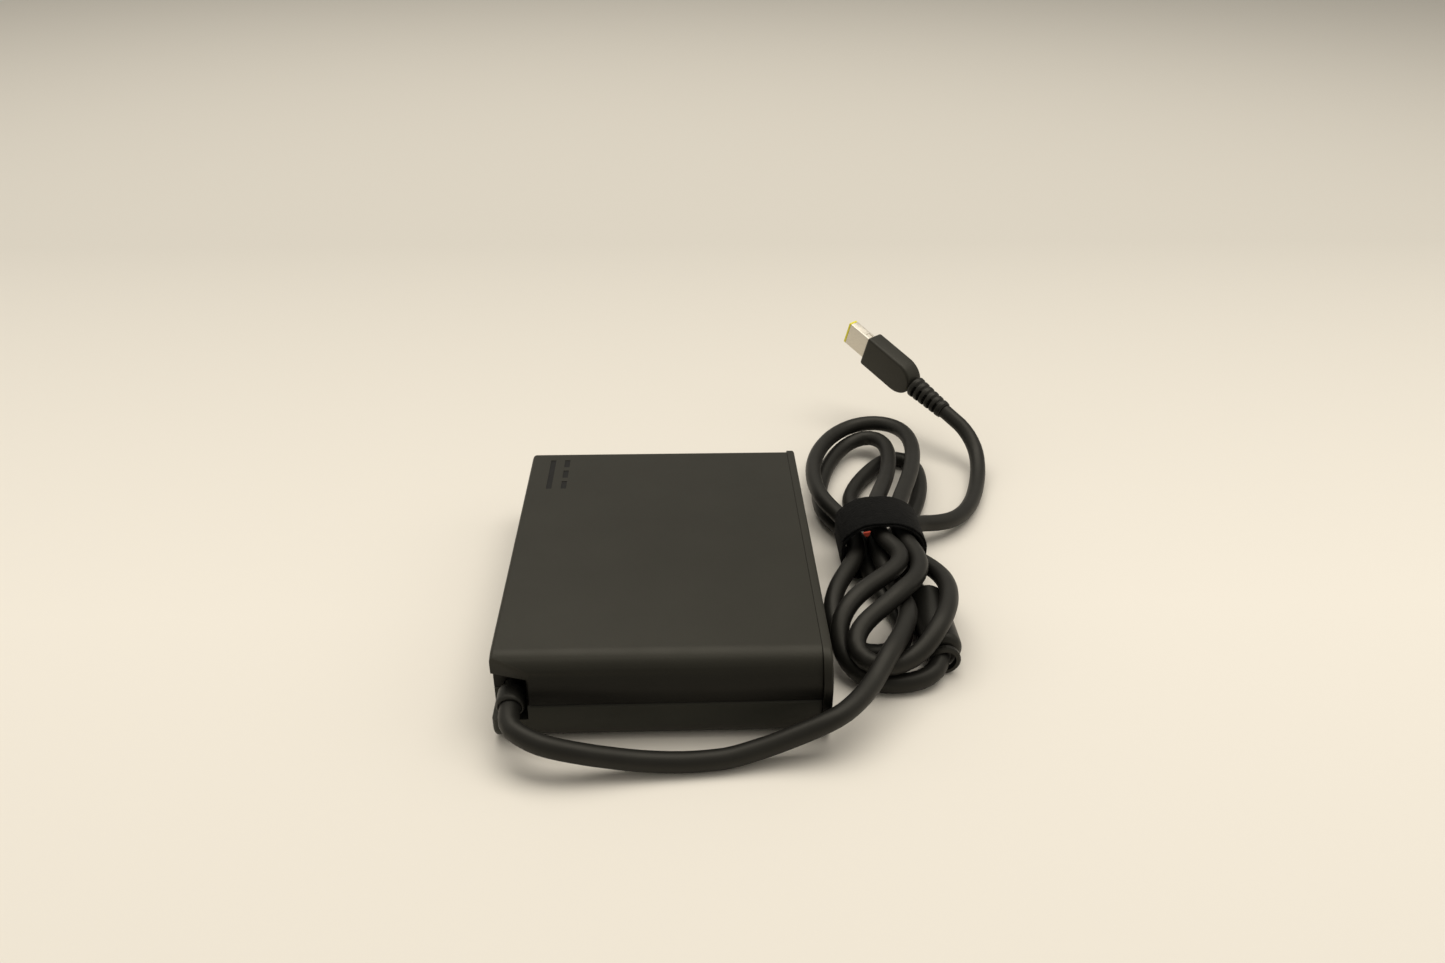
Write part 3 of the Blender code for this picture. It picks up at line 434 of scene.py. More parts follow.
# Each finish, with its tones and its roughness.
MATS = {
    "case": case_material(),
    "base": moulded_plastic("base_plastic", (0.0235, 0.0235, 0.0190), (0.0265, 0.0265, 0.0215), 0.42),
    "mark": plain_material("mark_film", (0.0055, 0.0053, 0.0044), (0.0065, 0.0063, 0.0052), 0.6,
                           specular=0.2),
    "jacket": cord_material(),
    "mould": moulded_plastic("moulded_rubber", (0.011, 0.0107, 0.0092), (0.0145, 0.014, 0.0122), 0.42,
                             RUBBER_GRAIN),
    "plug": moulded_plastic("plug_plastic", (0.0200, 0.0192, 0.0148), (0.0235, 0.0226, 0.0178), 0.42,
                            RUBBER_GRAIN),
    "strap": fabric_material(),
    "tab": plain_material("tab_fabric", (0.34, 0.035, 0.016), (0.46, 0.055, 0.024), 0.8),
    "nickel": metal_material("nickel_plate", (0.66, 0.62, 0.54), 0.46, (1, 1, 4)),
    "brass": metal_material("brass_pin", (0.75, 0.58, 0.30), 0.3),
    "yellow": plain_material("yellow_insulator", (0.74, 0.66, 0.015), (0.84, 0.76, 0.03), 0.42),
    "inlet": plain_material("inlet_plastic", (0.012, 0.012, 0.012), (0.017, 0.017, 0.016), 0.4),
    "rubber": plain_material("foot_rubber", (0.018, 0.018, 0.018), (0.028, 0.028, 0.027), 0.85),
    "label": plain_material("label_film", (0.05, 0.05, 0.05), (0.06, 0.06, 0.058), 0.42),
    "board": plain_material("circuit_board", (0.02, 0.12, 0.05), (0.03, 0.17, 0.07), 0.45),
    "aluminium": metal_material("aluminium_sheet", (0.62, 0.63, 0.65), 0.38),
    "ferrite": plain_material("ferrite_ceramic", (0.04, 0.04, 0.045), (0.055, 0.055, 0.06), 0.6),
    "copper": metal_material("copper_winding", (0.62, 0.26, 0.10), 0.35, (1, 6, 1)),
    "tape": plain_material("yellow_tape", (0.66, 0.46, 0.04), (0.76, 0.56, 0.07), 0.42),
    "can": plain_material("capacitor_sleeve", (0.015, 0.025, 0.05), (0.025, 0.035, 0.07), 0.32),
    "film": plain_material("film_capacitor", (0.50, 0.09, 0.025), (0.60, 0.12, 0.04), 0.38),
    "epoxy": plain_material("black_epoxy", (0.018, 0.018, 0.02), (0.026, 0.026, 0.028), 0.42),
    "sheet": plain_material("insulation_sheet", (0.55, 0.53, 0.44), (0.64, 0.62, 0.52), 0.55),
    "glass": plain_material("fuse_glass", (0.55, 0.57, 0.55), (0.65, 0.67, 0.65), 0.18),
    "blue": plain_material("blue_varnish", (0.025, 0.10, 0.36), (0.04, 0.14, 0.44), 0.32),
    "wire": plain_material("wire_sleeve", (0.16, 0.05, 0.02), (0.22, 0.07, 0.03), 0.45),
}

# The CAD nodes whose own shapes are shown, by their finish.
FINISHES = {
    "inlet": ["ac_inlet_housing"],
    "nickel": ["inlet_pin_live", "inlet_pin_neutral", "inlet_pin_earth"],
    "rubber": ["foot_front_left", "foot_front_right", "foot_rear_left", "foot_rear_right"],
    "label": ["rating_label"],
    "mould": ["bead_collar"],
    "brass": ["plug_contact"],
    "board": ["main_board", "controller_board"],
    "aluminium": ["heat_spreader_top", "heat_spreader_bottom", "primary_heatsink", "output_heatsink"],
    "ferrite": ["boost_choke_core", "transformer_core", "output_choke"],
    "copper": ["boost_choke_winding", "line_choke"],
    "tape": ["transformer_winding"],
    "can": ["bulk_capacitor_1", "bulk_capacitor_2", "output_capacitor_1", "output_capacitor_2",
            "output_capacitor_3"],
    "film": ["x_capacitor"],
    "wire": ["live_wire", "neutral_wire", "output_wire_positive", "output_wire_negative"],
    "epoxy": ["bridge_rectifier", "power_transistor_1", "power_transistor_2", "output_rectifier",
              "optocoupler"],
    "sheet": ["insulation_sheet_top", "insulation_sheet_bottom"],
    "glass": ["fuse"],
    "blue": ["varistor"],
}


def refinish_nodes():
    """Give the shown CAD nodes their finishes."""
    for finish, names in FINISHES.items():
        for name in names:
            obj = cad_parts[name]
            obj.data.materials.clear()
            obj.data.materials.append(MATS[finish])


# ------------------------ mesh helpers


def show(obj, mat):
    bpy.context.scene.collection.objects.link(obj)
    obj.data.materials.append(mat)
    return obj


def crisp(obj, angle=35.0):
    """Shade smooth, with hard lines where the surface turns sharply (degrees)."""
    obj.data.shade_smooth()
    obj.data.set_sharp_from_angle(angle=math.radians(angle))
    return obj


def new_mesh(name, bm, mat, smooth_angle=35.0):
    """Make a shown object of the faces in bm, which is used up."""
    bmesh.ops.recalc_face_normals(bm, faces=bm.faces)
    mesh = bpy.data.meshes.new(name)
    bm.to_mesh(mesh)
    bm.free()
    return crisp(show(bpy.data.objects.new(name, mesh), mat), smooth_angle)


def stand_for(obj, *nodes, slot=None):
    """Ride with the object's one body and take the place of its CAD nodes."""
    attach(obj, "root")
    if nodes:
        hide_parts(*nodes)
    return obj


def arc(cx, cy, rx, ry, start, end, steps):
    """Points of an elliptical arc about (cx, cy), between two angles in degrees."""
    turns = [math.radians(start + (end - start) * k / steps) for k in range(steps + 1)]
    return [(cx + rx * math.cos(a), cy + ry * math.sin(a)) for a in turns]


def skin(bm, rings):
    """Faces between successive rings of vertices; a ring of one vertex is a tip."""
    for one, two in zip(rings, rings[1:]):
        count = max(len(one), len(two))
        for k in range(count):
            m = (k + 1) % count
            corners = (one[k % len(one)], one[m % len(one)], two[m % len(two)], two[k % len(two)])
            bm.faces.new(list(dict.fromkeys(corners)))


def apply_modifiers(obj):
    """Bake an object's modifiers into its mesh."""
    bpy.context.view_layer.update()
    graph = bpy.context.evaluated_depsgraph_get()
    mesh = bpy.data.meshes.new_from_object(obj.evaluated_get(graph))
    old = obj.data
    obj.modifiers.clear()
    obj.data = mesh
    bpy.data.meshes.remove(old)


def round_edges(obj, width, segments=2, angle=30.0):
    """Bevel the edges that turn by more than an angle (degrees)."""
    mod = obj.modifiers.new("edges", "BEVEL")
    mod.width = width * MM
    mod.segments = segments
    mod.limit_method = "ANGLE"
    mod.angle_limit = math.radians(angle)
    mod.miter_outer = "MITER_ARC"
    mod.harden_normals = False
    apply_modifiers(obj)


def subtract(obj, cutter):
    """Cut one object with another, which is used up."""
    mod = obj.modifiers.new("cut", "BOOLEAN")
    mod.operation = "DIFFERENCE"
    mod.solver = "EXACT"
    mod.object = cutter
    apply_modifiers(obj)
    crisp(obj)
    bpy.data.objects.remove(cutter, do_unlink=True)


# Where an outline's point (a, b) lies at the distance t along an axis.
ALONG = {
    "x": lambda a, b, t: (t, a, b),
    "y": lambda a, b, t: (a, t, b),
    "z": lambda a, b, t: (a, b, t),
}


def prism(name, outline, low, high, axis, mat):
    """Extrude an outline: (y, z) along x, (x, z) along y, or (x, y) along z."""
    bm = bmesh.new()
    place = ALONG[axis]
    rings = [[bm.verts.new(Vector(place(a, b, t)) * MM) for a, b in outline] for t in (low, high)]
    for ring in rings:
        bm.faces.new(ring)
    skin(bm, rings)
    return new_mesh(name, bm, mat)


TIP_R = 1e-4              # a smaller radius is a point on the axis


def lathe(name, profile, start, aim, mat, steps=48):
    """Turn a profile of (radius, distance) about the line from start along aim."""
    bm = bmesh.new()
    turn = Vector(aim).to_track_quat("Z", "Y").to_matrix()
    rings = []
    for radius, along in profile:
        ring = []
        for k in range(1 if radius < TIP_R else steps):
            a = 2 * math.pi * k / steps
            spot = Vector((radius * math.cos(a), radius * math.sin(a), along))
            ring.append(bm.verts.new((Vector(start) + turn @ spot) * MM))
        rings.append(ring)
    skin(bm, rings)
    return new_mesh(name, bm, mat)


RIM_STEPS = 5


def pillow(name, outline, low, high, rounds, place, mat):
    """A slab between low and high whose two rims are rounded: outline(inset) gives each section."""
    turns = [math.pi / 2 * k / RIM_STEPS for k in range(RIM_STEPS + 1)]
    near, far = rounds
    stations = [(low + near * (1 - math.sin(a)), near * (1 - math.cos(a))) for a in reversed(turns)]
    stations += [(high - far * (1 - math.sin(a)), far * (1 - math.cos(a))) for a in turns]
    bm = bmesh.new()
    rings = []
    for along, inset in stations:
        rings.append([bm.verts.new(Vector(place(a, b, along)) * MM) for a, b in outline(inset)])
    skin(bm, rings)
    bm.faces.new(rings[0])
    bm.faces.new(rings[-1])
    return new_mesh(name, bm, mat)


def block(name, low, high):
    """A plain box used as a cutter."""
    bm = bmesh.new()
    bmesh.ops.create_cube(bm, size=1.0)
    size = [(b - a) * MM for a, b in zip(low, high)]
    bmesh.ops.scale(bm, vec=size, verts=bm.verts)
    bmesh.ops.translate(bm, vec=[(a + b) / 2 * MM for a, b in zip(low, high)], verts=bm.verts)
    mesh = bpy.data.meshes.new(name)
    bm.to_mesh(mesh)
    bm.free()
    obj = bpy.data.objects.new(name, mesh)
    bpy.context.scene.collection.objects.link(obj)
    return obj


# ------------------------ case

EDGE_STEPS = 14
WALL = 2.0
FRONT_ROUND = (9.0, 11.0)     # how far an edge's rounding reaches along y and z
REAR_ROUND = (3.0, 4.0)
SOLE_ROUND = (4.0, 4.2)
JOINT_CHAMFER = 0.45
SIDE_ROUND = 1.3
CAP_ROUND = 0.9
CAP_JOINT_ROUND = 0.15
CAP_GAP = 0.05
CAVITY_ROUNDS = (0.6, 0.1)
CUT_PAST = 5.0                # how far a cutter runs out past the surface that it opens
CAVITY_PAST = 3.0             # how far a cavity runs past the joint, so that the shells are open there
NOTCH_X = -40.0
NOTCH_BACK_Y = -57.5
NOTCH_Z = (8.6, 21.8)
VISOR_LEFT_Y = -61.2          # the sloping edge over the notch
VISOR_RIGHT_Y = -64.8
VISOR_CUT = ((-14.0, -12.0, 2.0), (12.9, 0.0, 40.0))     # the cutter's corners, from the edge's left end
INLET_GAP = 0.3
INLET_WINDOW_DEPTH = 8.0
BORE_R = 2.9                  # for the boot's neck
BORE_LEN = 10.0
FOOT_SPOTS = ((-36, -50), (38, -52), (-38, 52), (38, 52))
FOOT_POCKET_R = 5.8
FOOT_POCKET_Z = (-1.0, 1.7)
MARK_X = -43.6
MARK_Y = 38.0
MARK_LONG = 22.0
MARK_W = 2.0
MARK_STEP = 5.4               # from the bar to the dashes
MARK_DEPTH = 0.2
MARK_FILM_T = 0.05
MARK_CUT_PAST = 1.0
DASH_COUNT = 3
DASH_PITCH = 0.375            # shares of the bar's length
DASH_LONG = 0.25


def upper_profile(front, rear, top, base, inset):
    """Side outline of the upper shell, (y, z), with a small chamfer at the joint."""
    fy, fz = FRONT_ROUND
    ry, rz = REAR_ROUND
    front, rear, top = front + inset, rear - inset, top - inset
    points = [(front + JOINT_CHAMFER, base), (front, base + JOINT_CHAMFER)]
    points += arc(front + fy, top - fz, fy, fz, 180, 90, EDGE_STEPS)
    points += arc(rear - ry, top - rz, ry, rz, 90, 0, EDGE_STEPS)
    points += [(rear, base + JOINT_CHAMFER), (rear - JOINT_CHAMFER, base)]
    return points


def lower_profile(front, rear, bottom, joint, inset):
    """Side outline of the lower shell, (y, z)."""
    sy, sz = SOLE_ROUND
    front, rear, bottom = front + inset, rear - inset, bottom + inset
    points = [(rear - JOINT_CHAMFER, joint), (rear, joint - JOINT_CHAMFER)]
    points += arc(rear - sy, bottom + sz, sy, sz, 0, -90, EDGE_STEPS)
    points += arc(front + sy, bottom + sz, sy, sz, -90, -180, EDGE_STEPS)
    points += [(front, joint - JOINT_CHAMFER), (front + JOINT_CHAMFER, joint)]
    return points


def hollow(shell, outline):
    """Empty a shell, leaving its walls and the walls of the corner notch."""
    cavity = pillow(shell.name + "_cavity", outline, CASE_LOW[0] + WALL, CASE_HIGH[0] + CUT_PAST,
                    CAVITY_ROUNDS, ALONG["x"], MATS["case"])
    keep = block("notch_keep", (CASE_LOW[0] - CUT_PAST, CASE_LOW[1] - CUT_PAST, NOTCH_Z[0] - WALL),
                 (NOTCH_X + WALL, NOTCH_BACK_Y + WALL, CASE_HIGH[2] + CUT_PAST))
    subtract(cavity, keep)
    subtract(shell, cavity)


def cut_openings(shell):
    """The open corner for the cord, the inlet's window and the boot's bore."""
    subtract(shell, block("notch", (CASE_LOW[0] - CUT_PAST, CASE_LOW[1] - CUT_PAST, NOTCH_Z[0]),
                          (NOTCH_X, NOTCH_BACK_Y, NOTCH_Z[1])))
    rear = INLET_HIGH[1]
    subtract(shell, block("inlet_window",
                          (INLET_LOW[0] - INLET_GAP, rear - INLET_WINDOW_DEPTH, INLET_LOW[2] - INLET_GAP),
                          (INLET_HIGH[0] + INLET_GAP, rear + CUT_PAST, INLET_HIGH[2] + INLET_GAP)))
    bore = [(0, 0), (BORE_R, 0), (BORE_R, BORE_LEN), (0, BORE_LEN)]
    subtract(shell, lathe("bore", bore, BOOT_ROOT, BOOT_AIM, MATS["case"], steps=24))


def make_mark(cover):
    """A plain sunk direct-current sign, a bar beside three dashes, with dark floors."""
    top = CASE_HIGH[2]
    floor = top - MARK_DEPTH
    bars = [(MARK_X, MARK_Y, MARK_LONG)]
    bars += [(MARK_X + MARK_STEP, MARK_Y + MARK_LONG * k * DASH_PITCH, MARK_LONG * DASH_LONG)
             for k in range(DASH_COUNT)]
    for x, y, long in bars:
        subtract(cover, block("mark", (x, y, floor), (x + MARK_W, y + long, top + MARK_CUT_PAST)))
        corners = [(x, y), (x + MARK_W, y), (x + MARK_W, y + long), (x, y + long)]
        inlay = prism("mark_inlay", corners, floor, floor + MARK_FILM_T, "z", MATS["mark"])
        stand_for(inlay, slot="case")


def make_top_cover():
    joint = CASE_LOW[2]

    def outside(inset):
        return upper_profile(CASE_LOW[1], CASE_HIGH[1], CASE_HIGH[2], joint, inset)

    def inside(inset):
        return upper_profile(CASE_LOW[1] + WALL, CASE_HIGH[1] - WALL, CASE_HIGH[2] - WALL,
                             joint - CAVITY_PAST, inset)
    cover = pillow("upper_case", outside, CASE_LOW[0], CASE_HIGH[0], (SIDE_ROUND, CAP_JOINT_ROUND),
                   ALONG["x"], MATS["case"])
    slope = math.atan2(VISOR_RIGHT_Y - VISOR_LEFT_Y, NOTCH_X - CASE_LOW[0])
    visor = block("visor", *VISOR_CUT)
    visor.matrix_world = (Matrix.Translation(Vector((CASE_LOW[0], VISOR_LEFT_Y, 0)) * MM)
                          @ Matrix.Rotation(slope, 4, "Z"))
    subtract(cover, visor)
    hollow(cover, inside)
    cut_openings(cover)
    stand_for(cover, "top_cover", slot="case")
    make_mark(cover)


def make_bottom_cover():
    joint = BASE_HIGH[2]

    def outside(inset):
        return lower_profile(BASE_LOW[1], BASE_HIGH[1], BASE_LOW[2], joint, inset)

    def inside(inset):
        return lower_profile(BASE_LOW[1] + WALL, BASE_HIGH[1] - WALL, BASE_LOW[2] + WALL,
                             joint + CAVITY_PAST, inset)
    base = pillow("lower_case", outside, BASE_LOW[0], BASE_HIGH[0], (SIDE_ROUND, CAP_JOINT_ROUND),
                  ALONG["x"], MATS["base"])
    hollow(base, inside)
    cut_openings(base)
    low, high = FOOT_POCKET_Z
    pocket = [(0, 0), (FOOT_POCKET_R, 0), (FOOT_POCKET_R, high - low), (0, high - low)]
    for x, y in FOOT_SPOTS:
        subtract(base, lathe("pocket", pocket, (x, y, low), (0, 0, 1), MATS["base"], steps=32))
    stand_for(base, "bottom_cover", slot="case")


def make_end_cap():
    """The cover over the case's right end, with the outlines of both shells."""
    middle = (CASE_LOW[2] + BASE_HIGH[2]) / 2
    front, rear, top, bottom = CAP_LOW[1], CAP_HIGH[1], CAP_HIGH[2], CAP_LOW[2]

    def outline(inset):
        upper = upper_profile(front, rear, top, middle, inset)[2:-2]
        return upper + lower_profile(front, rear, bottom, middle, inset)[2:-2]
    cap = pillow("end_cover", outline, CASE_HIGH[0] + CAP_GAP, CAP_HIGH[0], (CAP_JOINT_ROUND, CAP_ROUND),
                 ALONG["x"], MATS["case"])
    stand_for(cap, "end_cap", slot="case")


# ------------------------ boot, bead and strap

BOOT_ROOT = (-45.2, -51.5, 15.2)
BOOT_RIM = (-45.2, -66.8, 13.2)
BOOT_AIM = Vector(BOOT_RIM) - Vector(BOOT_ROOT)
# The boot's parts as (radius, distance from its root).
BOOT_FLANGE = [(0, 0), (3.5, 0), (3.5, 2.6)]
BOOT_NECK = [(2.6, 3.0), (2.6, 8.2), (3.7, 8.6)]
SLEEVE_FROM = 9.2
SLEEVE_R = (4.15, 4.4)        # at the wall and near the rim
SLEEVE_STEPS = 6
RIM_LEN = 1.0
# The rounded rim as (radius, distance back from the rim's plane).
BOOT_RIM_EDGE = [(4.25, 0.5), (3.95, 0.1), (3.6, 0), (3.35, 0.5), (0, 0.6)]
BEAD_MOUTH_R = 3.6            # the necks at the bead's ends
BEAD_MOUTH_LEN = 0.2


def make_boot():
    """The moulded boot: a flange inside the case, a neck through its wall and a sleeve on the cord."""
    reach = BOOT_AIM.length
    profile = BOOT_FLANGE + BOOT_NECK
    for k in range(SLEEVE_STEPS + 1):
        swell = math.sin(math.pi / 2 * k / SLEEVE_STEPS)
        profile.append((SLEEVE_R[1] - (SLEEVE_R[1] - SLEEVE_R[0]) * (1 - swell),
                        SLEEVE_FROM + (reach - RIM_LEN - SLEEVE_FROM) * k / SLEEVE_STEPS))
    profile += [(radius, reach - back) for radius, back in BOOT_RIM_EDGE]
    boot = lathe("cord_boot", profile, BOOT_ROOT, BOOT_AIM, MATS["mould"])
    return stand_for(boot, "cable_boot", slot="jacket")


def make_bead():
    """The filter's overmoulding: a blunt barrel with necked ends."""
    length = BEAD_HIGH[1] - BEAD_LOW[1]
    end = arc(BEAD_R - BEAD_ROUND, BEAD_ROUND, BEAD_ROUND, BEAD_ROUND, -90, 0, steps=8)
    profile = [(0, 0), (BEAD_MOUTH_R, 0), (BEAD_MOUTH_R, BEAD_MOUTH_LEN)] + end
    profile += [(radius, length - along) for radius, along in reversed(end)]
    profile += [(BEAD_MOUTH_R, length), (0, length)]
    bead = lathe("filter_bead", profile, (BEAD_X, BEAD_LOW[1], BEAD_Z), (0, 1, 0), MATS["mould"])
    return stand_for(bead, "ferrite_bead", slot="jacket")


STRAP_CROWN = 11.5            # height of the arched top
STRAP_FLAT = 1.2              # half the flat stretch at the crown
STRAP_FOOT_R = 9.0
STRAP_ROUND_STEPS = 14
STRAP_MARGIN = 0.35           # kept at each edge for its waves
OVERLAP_T = 0.9
OVERLAP_GAP = 0.02
OVERLAP_MARGINS = (0.4, 0.3)  # how much narrower the free end is at its near and far edge
FREE_END_SKIP = (4, 3)        # points left out of the ring's lower right and upper left arcs
EDGE_WAVES = ((0.18, 0.9, 0), (0.12, 2.3, 1))     # height, pace and start of each wave
NEAR_EDGE_SHARE = 0.7         # the near edge waves less than the far one
EDGE_ROUND_STEPS = 6
TAB_OUTLINE = [(71.4, 21.6), (74.2, 22.2), (73.9, 20.6), (73.0, 19.7), (72.0, 20.4)]
TAB_Y = (-0.7, 0.1)           # from the strap's near edge
TAB_ROUND = 0.25
# The band's inner end, tucked between the runs: outlines (x, z) of its two folds.
INNER_FOLDS = (((70.9, 15.6), (74.6, 15.6), (74.9, 20.4), (70.6, 19.6)),
               ((81.8, 17.4), (83.7, 17.4), (85.2, 20.4), (80.8, 21.2)))
FOLD_Y = (-2.6, -1.7)         # from the strap's far edge


def strap_ring(inset):
    """Points (x, z) round the strap, counter-clockwise from the right."""
    x0, x1 = STRAP_LOW[0] + inset, STRAP_HIGH[0] - inset
    z0, z1 = STRAP_LOW[2] + inset, STRAP_HIGH[2] - inset
    wide, tall, foot = (x1 - x0) / 2 - STRAP_FLAT, STRAP_CROWN - inset, STRAP_FOOT_R - inset
    ring = arc(x1 - wide, z1 - tall, wide, tall, 0, 90, STRAP_ROUND_STEPS)
    ring += arc(x0 + wide, z1 - tall, wide, tall, 90, 180, STRAP_ROUND_STEPS)
    ring += arc(x0 + foot, z0 + foot, foot, foot, 180, 270, STRAP_ROUND_STEPS)
    ring += arc(x1 - foot, z0 + foot, foot, foot, 270, 360, STRAP_ROUND_STEPS)
    return ring


def band(name, outer, thick, y0, y1, closed, mat):
    """A flat woven band along the (x, z) line outer, thick inwards, with soft rolled edges."""
    pts = [Vector((x, 0, z)) for x, z in outer]
    last = len(pts) - 1
    half = thick / 2
    edge = arc(0, 0, half, half, 90, -90, EDGE_ROUND_STEPS)
    bm = bmesh.new()
    rings = []
    for k, spot in enumerate(pts):
        ahead = pts[(k + 1) % len(pts)] if closed or k < last else spot
        behind = pts[k - 1] if closed or k else spot
        run = (ahead - behind).normalized()
        out = Vector((run.z, 0, -run.x))
        wave = sum(height * math.sin(pace * k + start) for height, pace, start in EDGE_WAVES)
        ring = [spot + out * (off - half) + Vector((0, y1 - half + along + wave, 0)) for along, off in edge]
        wave *= NEAR_EDGE_SHARE
        ring += [spot + out * (off - half) + Vector((0, y0 + half - along + wave, 0))
                 for along, off in reversed(edge)]
        rings.append([bm.verts.new(v * MM) for v in ring])
    skin(bm, rings + rings[:1] if closed else rings)
    if not closed:
        bm.faces.new(rings[0])
        bm.faces.new(rings[-1])
    return new_mesh(name, bm, mat, smooth_angle=60.0)


def make_strap():
    """The band round the hank: an inner turn, and its free end laid over the right side and the top."""
    y0, y1 = STRAP_LOW[1] + STRAP_MARGIN, STRAP_HIGH[1] - STRAP_MARGIN
    whole = band("strap_band", strap_ring(OVERLAP_T), STRAP_T - OVERLAP_T, y0, y1, True, MATS["strap"])
    ring = strap_ring(0.0)
    turn = STRAP_ROUND_STEPS + 1
    free_end = ring[3 * turn + FREE_END_SKIP[0]:] + ring[:2 * turn - FREE_END_SKIP[1]]
    over = band("strap_free_end", free_end, OVERLAP_T - OVERLAP_GAP, y0 + OVERLAP_MARGINS[0],
                y1 - OVERLAP_MARGINS[1], False, MATS["strap"])
    stand_for(whole, "cord_strap", slot="strap")
    stand_for(over, slot="strap")
    near, far = STRAP_LOW[1], STRAP_HIGH[1]
    tab = prism("pull_tab", TAB_OUTLINE, near + TAB_Y[0], near + TAB_Y[1], "y", MATS["tab"])
    round_edges(tab, TAB_ROUND)
    stand_for(tab, "strap_tab", slot="tab")
    folds = [prism("strap_fold", outline, far + FOLD_Y[0], far + FOLD_Y[1], "y", MATS["strap"])
             for outline in INNER_FOLDS]
    for fold in folds:
        stand_for(fold, slot="strap")
    return [whole, over, tab, *folds]


# ------------------------ plug

PLUG_START = (122.6, 119.9, 19.0)
PLUG_AIM = (-0.600, 0.730, 0.325)
PLUG_ROLL = math.radians(-3.0)
RELIEF_LEN = 18.5
RELIEF_R = (3.85, 4.9)        # at the cord and at the housing
RELIEF_TAPER = 1.3
RELIEF_STEPS = 72
RELIEF_FROM = 0.6
RELIEF_PAST = 0.2             # how far it reaches into the housing
RELIEF_END = [(0, 0), (3.45, 0), (3.75, 0.35)]       # (radius, distance) round its end on the cord
GROOVE_DEPTH = 0.55
GROOVE_SHARPNESS = 8
SLOT_COUNT = 5
SLOT_FIRST = 2.6
SLOT_PITCH = 3.1
SLOT_W = 1.4
SLOT_HALF = 2.8
SLOT_Y = (2.5, 8.0)           # from the sleeve's axis
HOUSING_START = RELIEF_LEN + 0.3
HOUSING_LEN = 29.0
HOUSING_W = 14.8
HOUSING_T = 8.6
HEEL_LEN = 9.0
SHOULDER_R = 1.0
HOUSING_ROUND = 1.1
SEAT_DEPTH = 4.0
SEAT_GAP = 0.2
FACE = HOUSING_START + HOUSING_LEN
SHELL_LEN = 12.5
SHELL_W = 11.0
SHELL_T = 4.5
TIP = FACE + SHELL_LEN
# Sections of the tongue as (half its thickness, half its width, corner radius).
SHELL_OUT = (SHELL_T / 2, SHELL_W / 2, 0.5)
SHELL_IN = (SHELL_T / 2 - 0.45, SHELL_W / 2 - 0.45, 0.2)
INSULATOR_OUT = (SHELL_T / 2 - 0.75, SHELL_W / 2 - 0.75, 0.2)
INSULATOR_IN = (SHELL_T / 2 - 1.25, SHELL_W / 2 - 1.5, 0.2)
# How far its pieces reach along the plug.
SHELL_X = (FACE - 3.5, TIP)
INSULATOR_X = (FACE - 2.2, TIP + 0.3)
LIP_X = (TIP + 0.05, TIP + 1.1)
LATCH_X = (FACE + 0.9, FACE + 3.8)
LATCH_HALF = 1.1
LATCH_DEPTH = 0.25
LATCH_CUT_PAST = 2.0
TUBE_ROUND = 0.12
TUBE_CORNER_MIN = 0.05


def plug_matrix():
    """Local +X runs out of the plug's tip, +Z across its width and +Y through it."""
    aim = Vector(PLUG_AIM).normalized()
    up = (Vector((0, 0, 1)) - aim * aim.z).normalized()
    side = up.cross(aim)
    base = Matrix((aim, side, up)).transposed().to_4x4()
    return Matrix.Translation(PLUG_START) @ base @ Matrix.Rotation(PLUG_ROLL, 4, "X")


def in_plug(x, y, z):
    """A place in the plug's own axes, as a place in space."""
    return plug_matrix() @ Vector((x, y, z))


def plug_block(name, low, high):
    """A cutter in the plug's own axes."""
    obj = block(name, low, high)
    turn = plug_matrix()
    turn.translation = turn.translation * MM
    obj.matrix_world = turn
    return obj


def relief_radius(x):
    """A taper towards the cord, with a shallow groove round each slot."""
    taper = RELIEF_R[0] + (RELIEF_R[1] - RELIEF_R[0]) * (x / RELIEF_LEN) ** RELIEF_TAPER
    groove = math.cos(math.pi * (x - SLOT_FIRST - SLOT_W / 2) / SLOT_PITCH) ** GROOVE_SHARPNESS
    return taper - GROOVE_DEPTH * groove


def make_relief():
    """Tapered and ribbed sleeve with slots on two sides, which leave a spine between them."""
    end = RELIEF_LEN + RELIEF_PAST
    profile = list(RELIEF_END)
    for k in range(RELIEF_STEPS + 1):
        x = RELIEF_FROM + (end - RELIEF_FROM) * k / RELIEF_STEPS
        profile.append((relief_radius(x), x))
    profile.append((0, end))
    aim = Vector(PLUG_AIM).normalized()
    relief = lathe("strain_relief", profile, PLUG_START, aim, MATS["mould"])
    for k in range(SLOT_COUNT):
        x = SLOT_FIRST + SLOT_PITCH * k
        for side in (-1, 1):
            y0, y1 = sorted(side * y for y in SLOT_Y)
            subtract(relief, plug_block("slot", (x, y0, -SLOT_HALF), (x + SLOT_W, y1, SLOT_HALF)))
    return stand_for(relief, "plug_relief", slot="jacket")


def housing_profile(inset):
    """The plug's broad face: square shoulders in front and a round heel behind."""
    start, end, half = HOUSING_START + inset, FACE - inset, HOUSING_W / 2 - inset
    r = SHOULDER_R
    heel = arc(start + HEEL_LEN, 0, HEEL_LEN, half, 90, 270, steps=28)
    lower = arc(end - r, -half + r, r, r, -90, 0, steps=5)
    upper = arc(end - r, half - r, r, r, 0, 90, steps=5)
    return heel + lower + upper


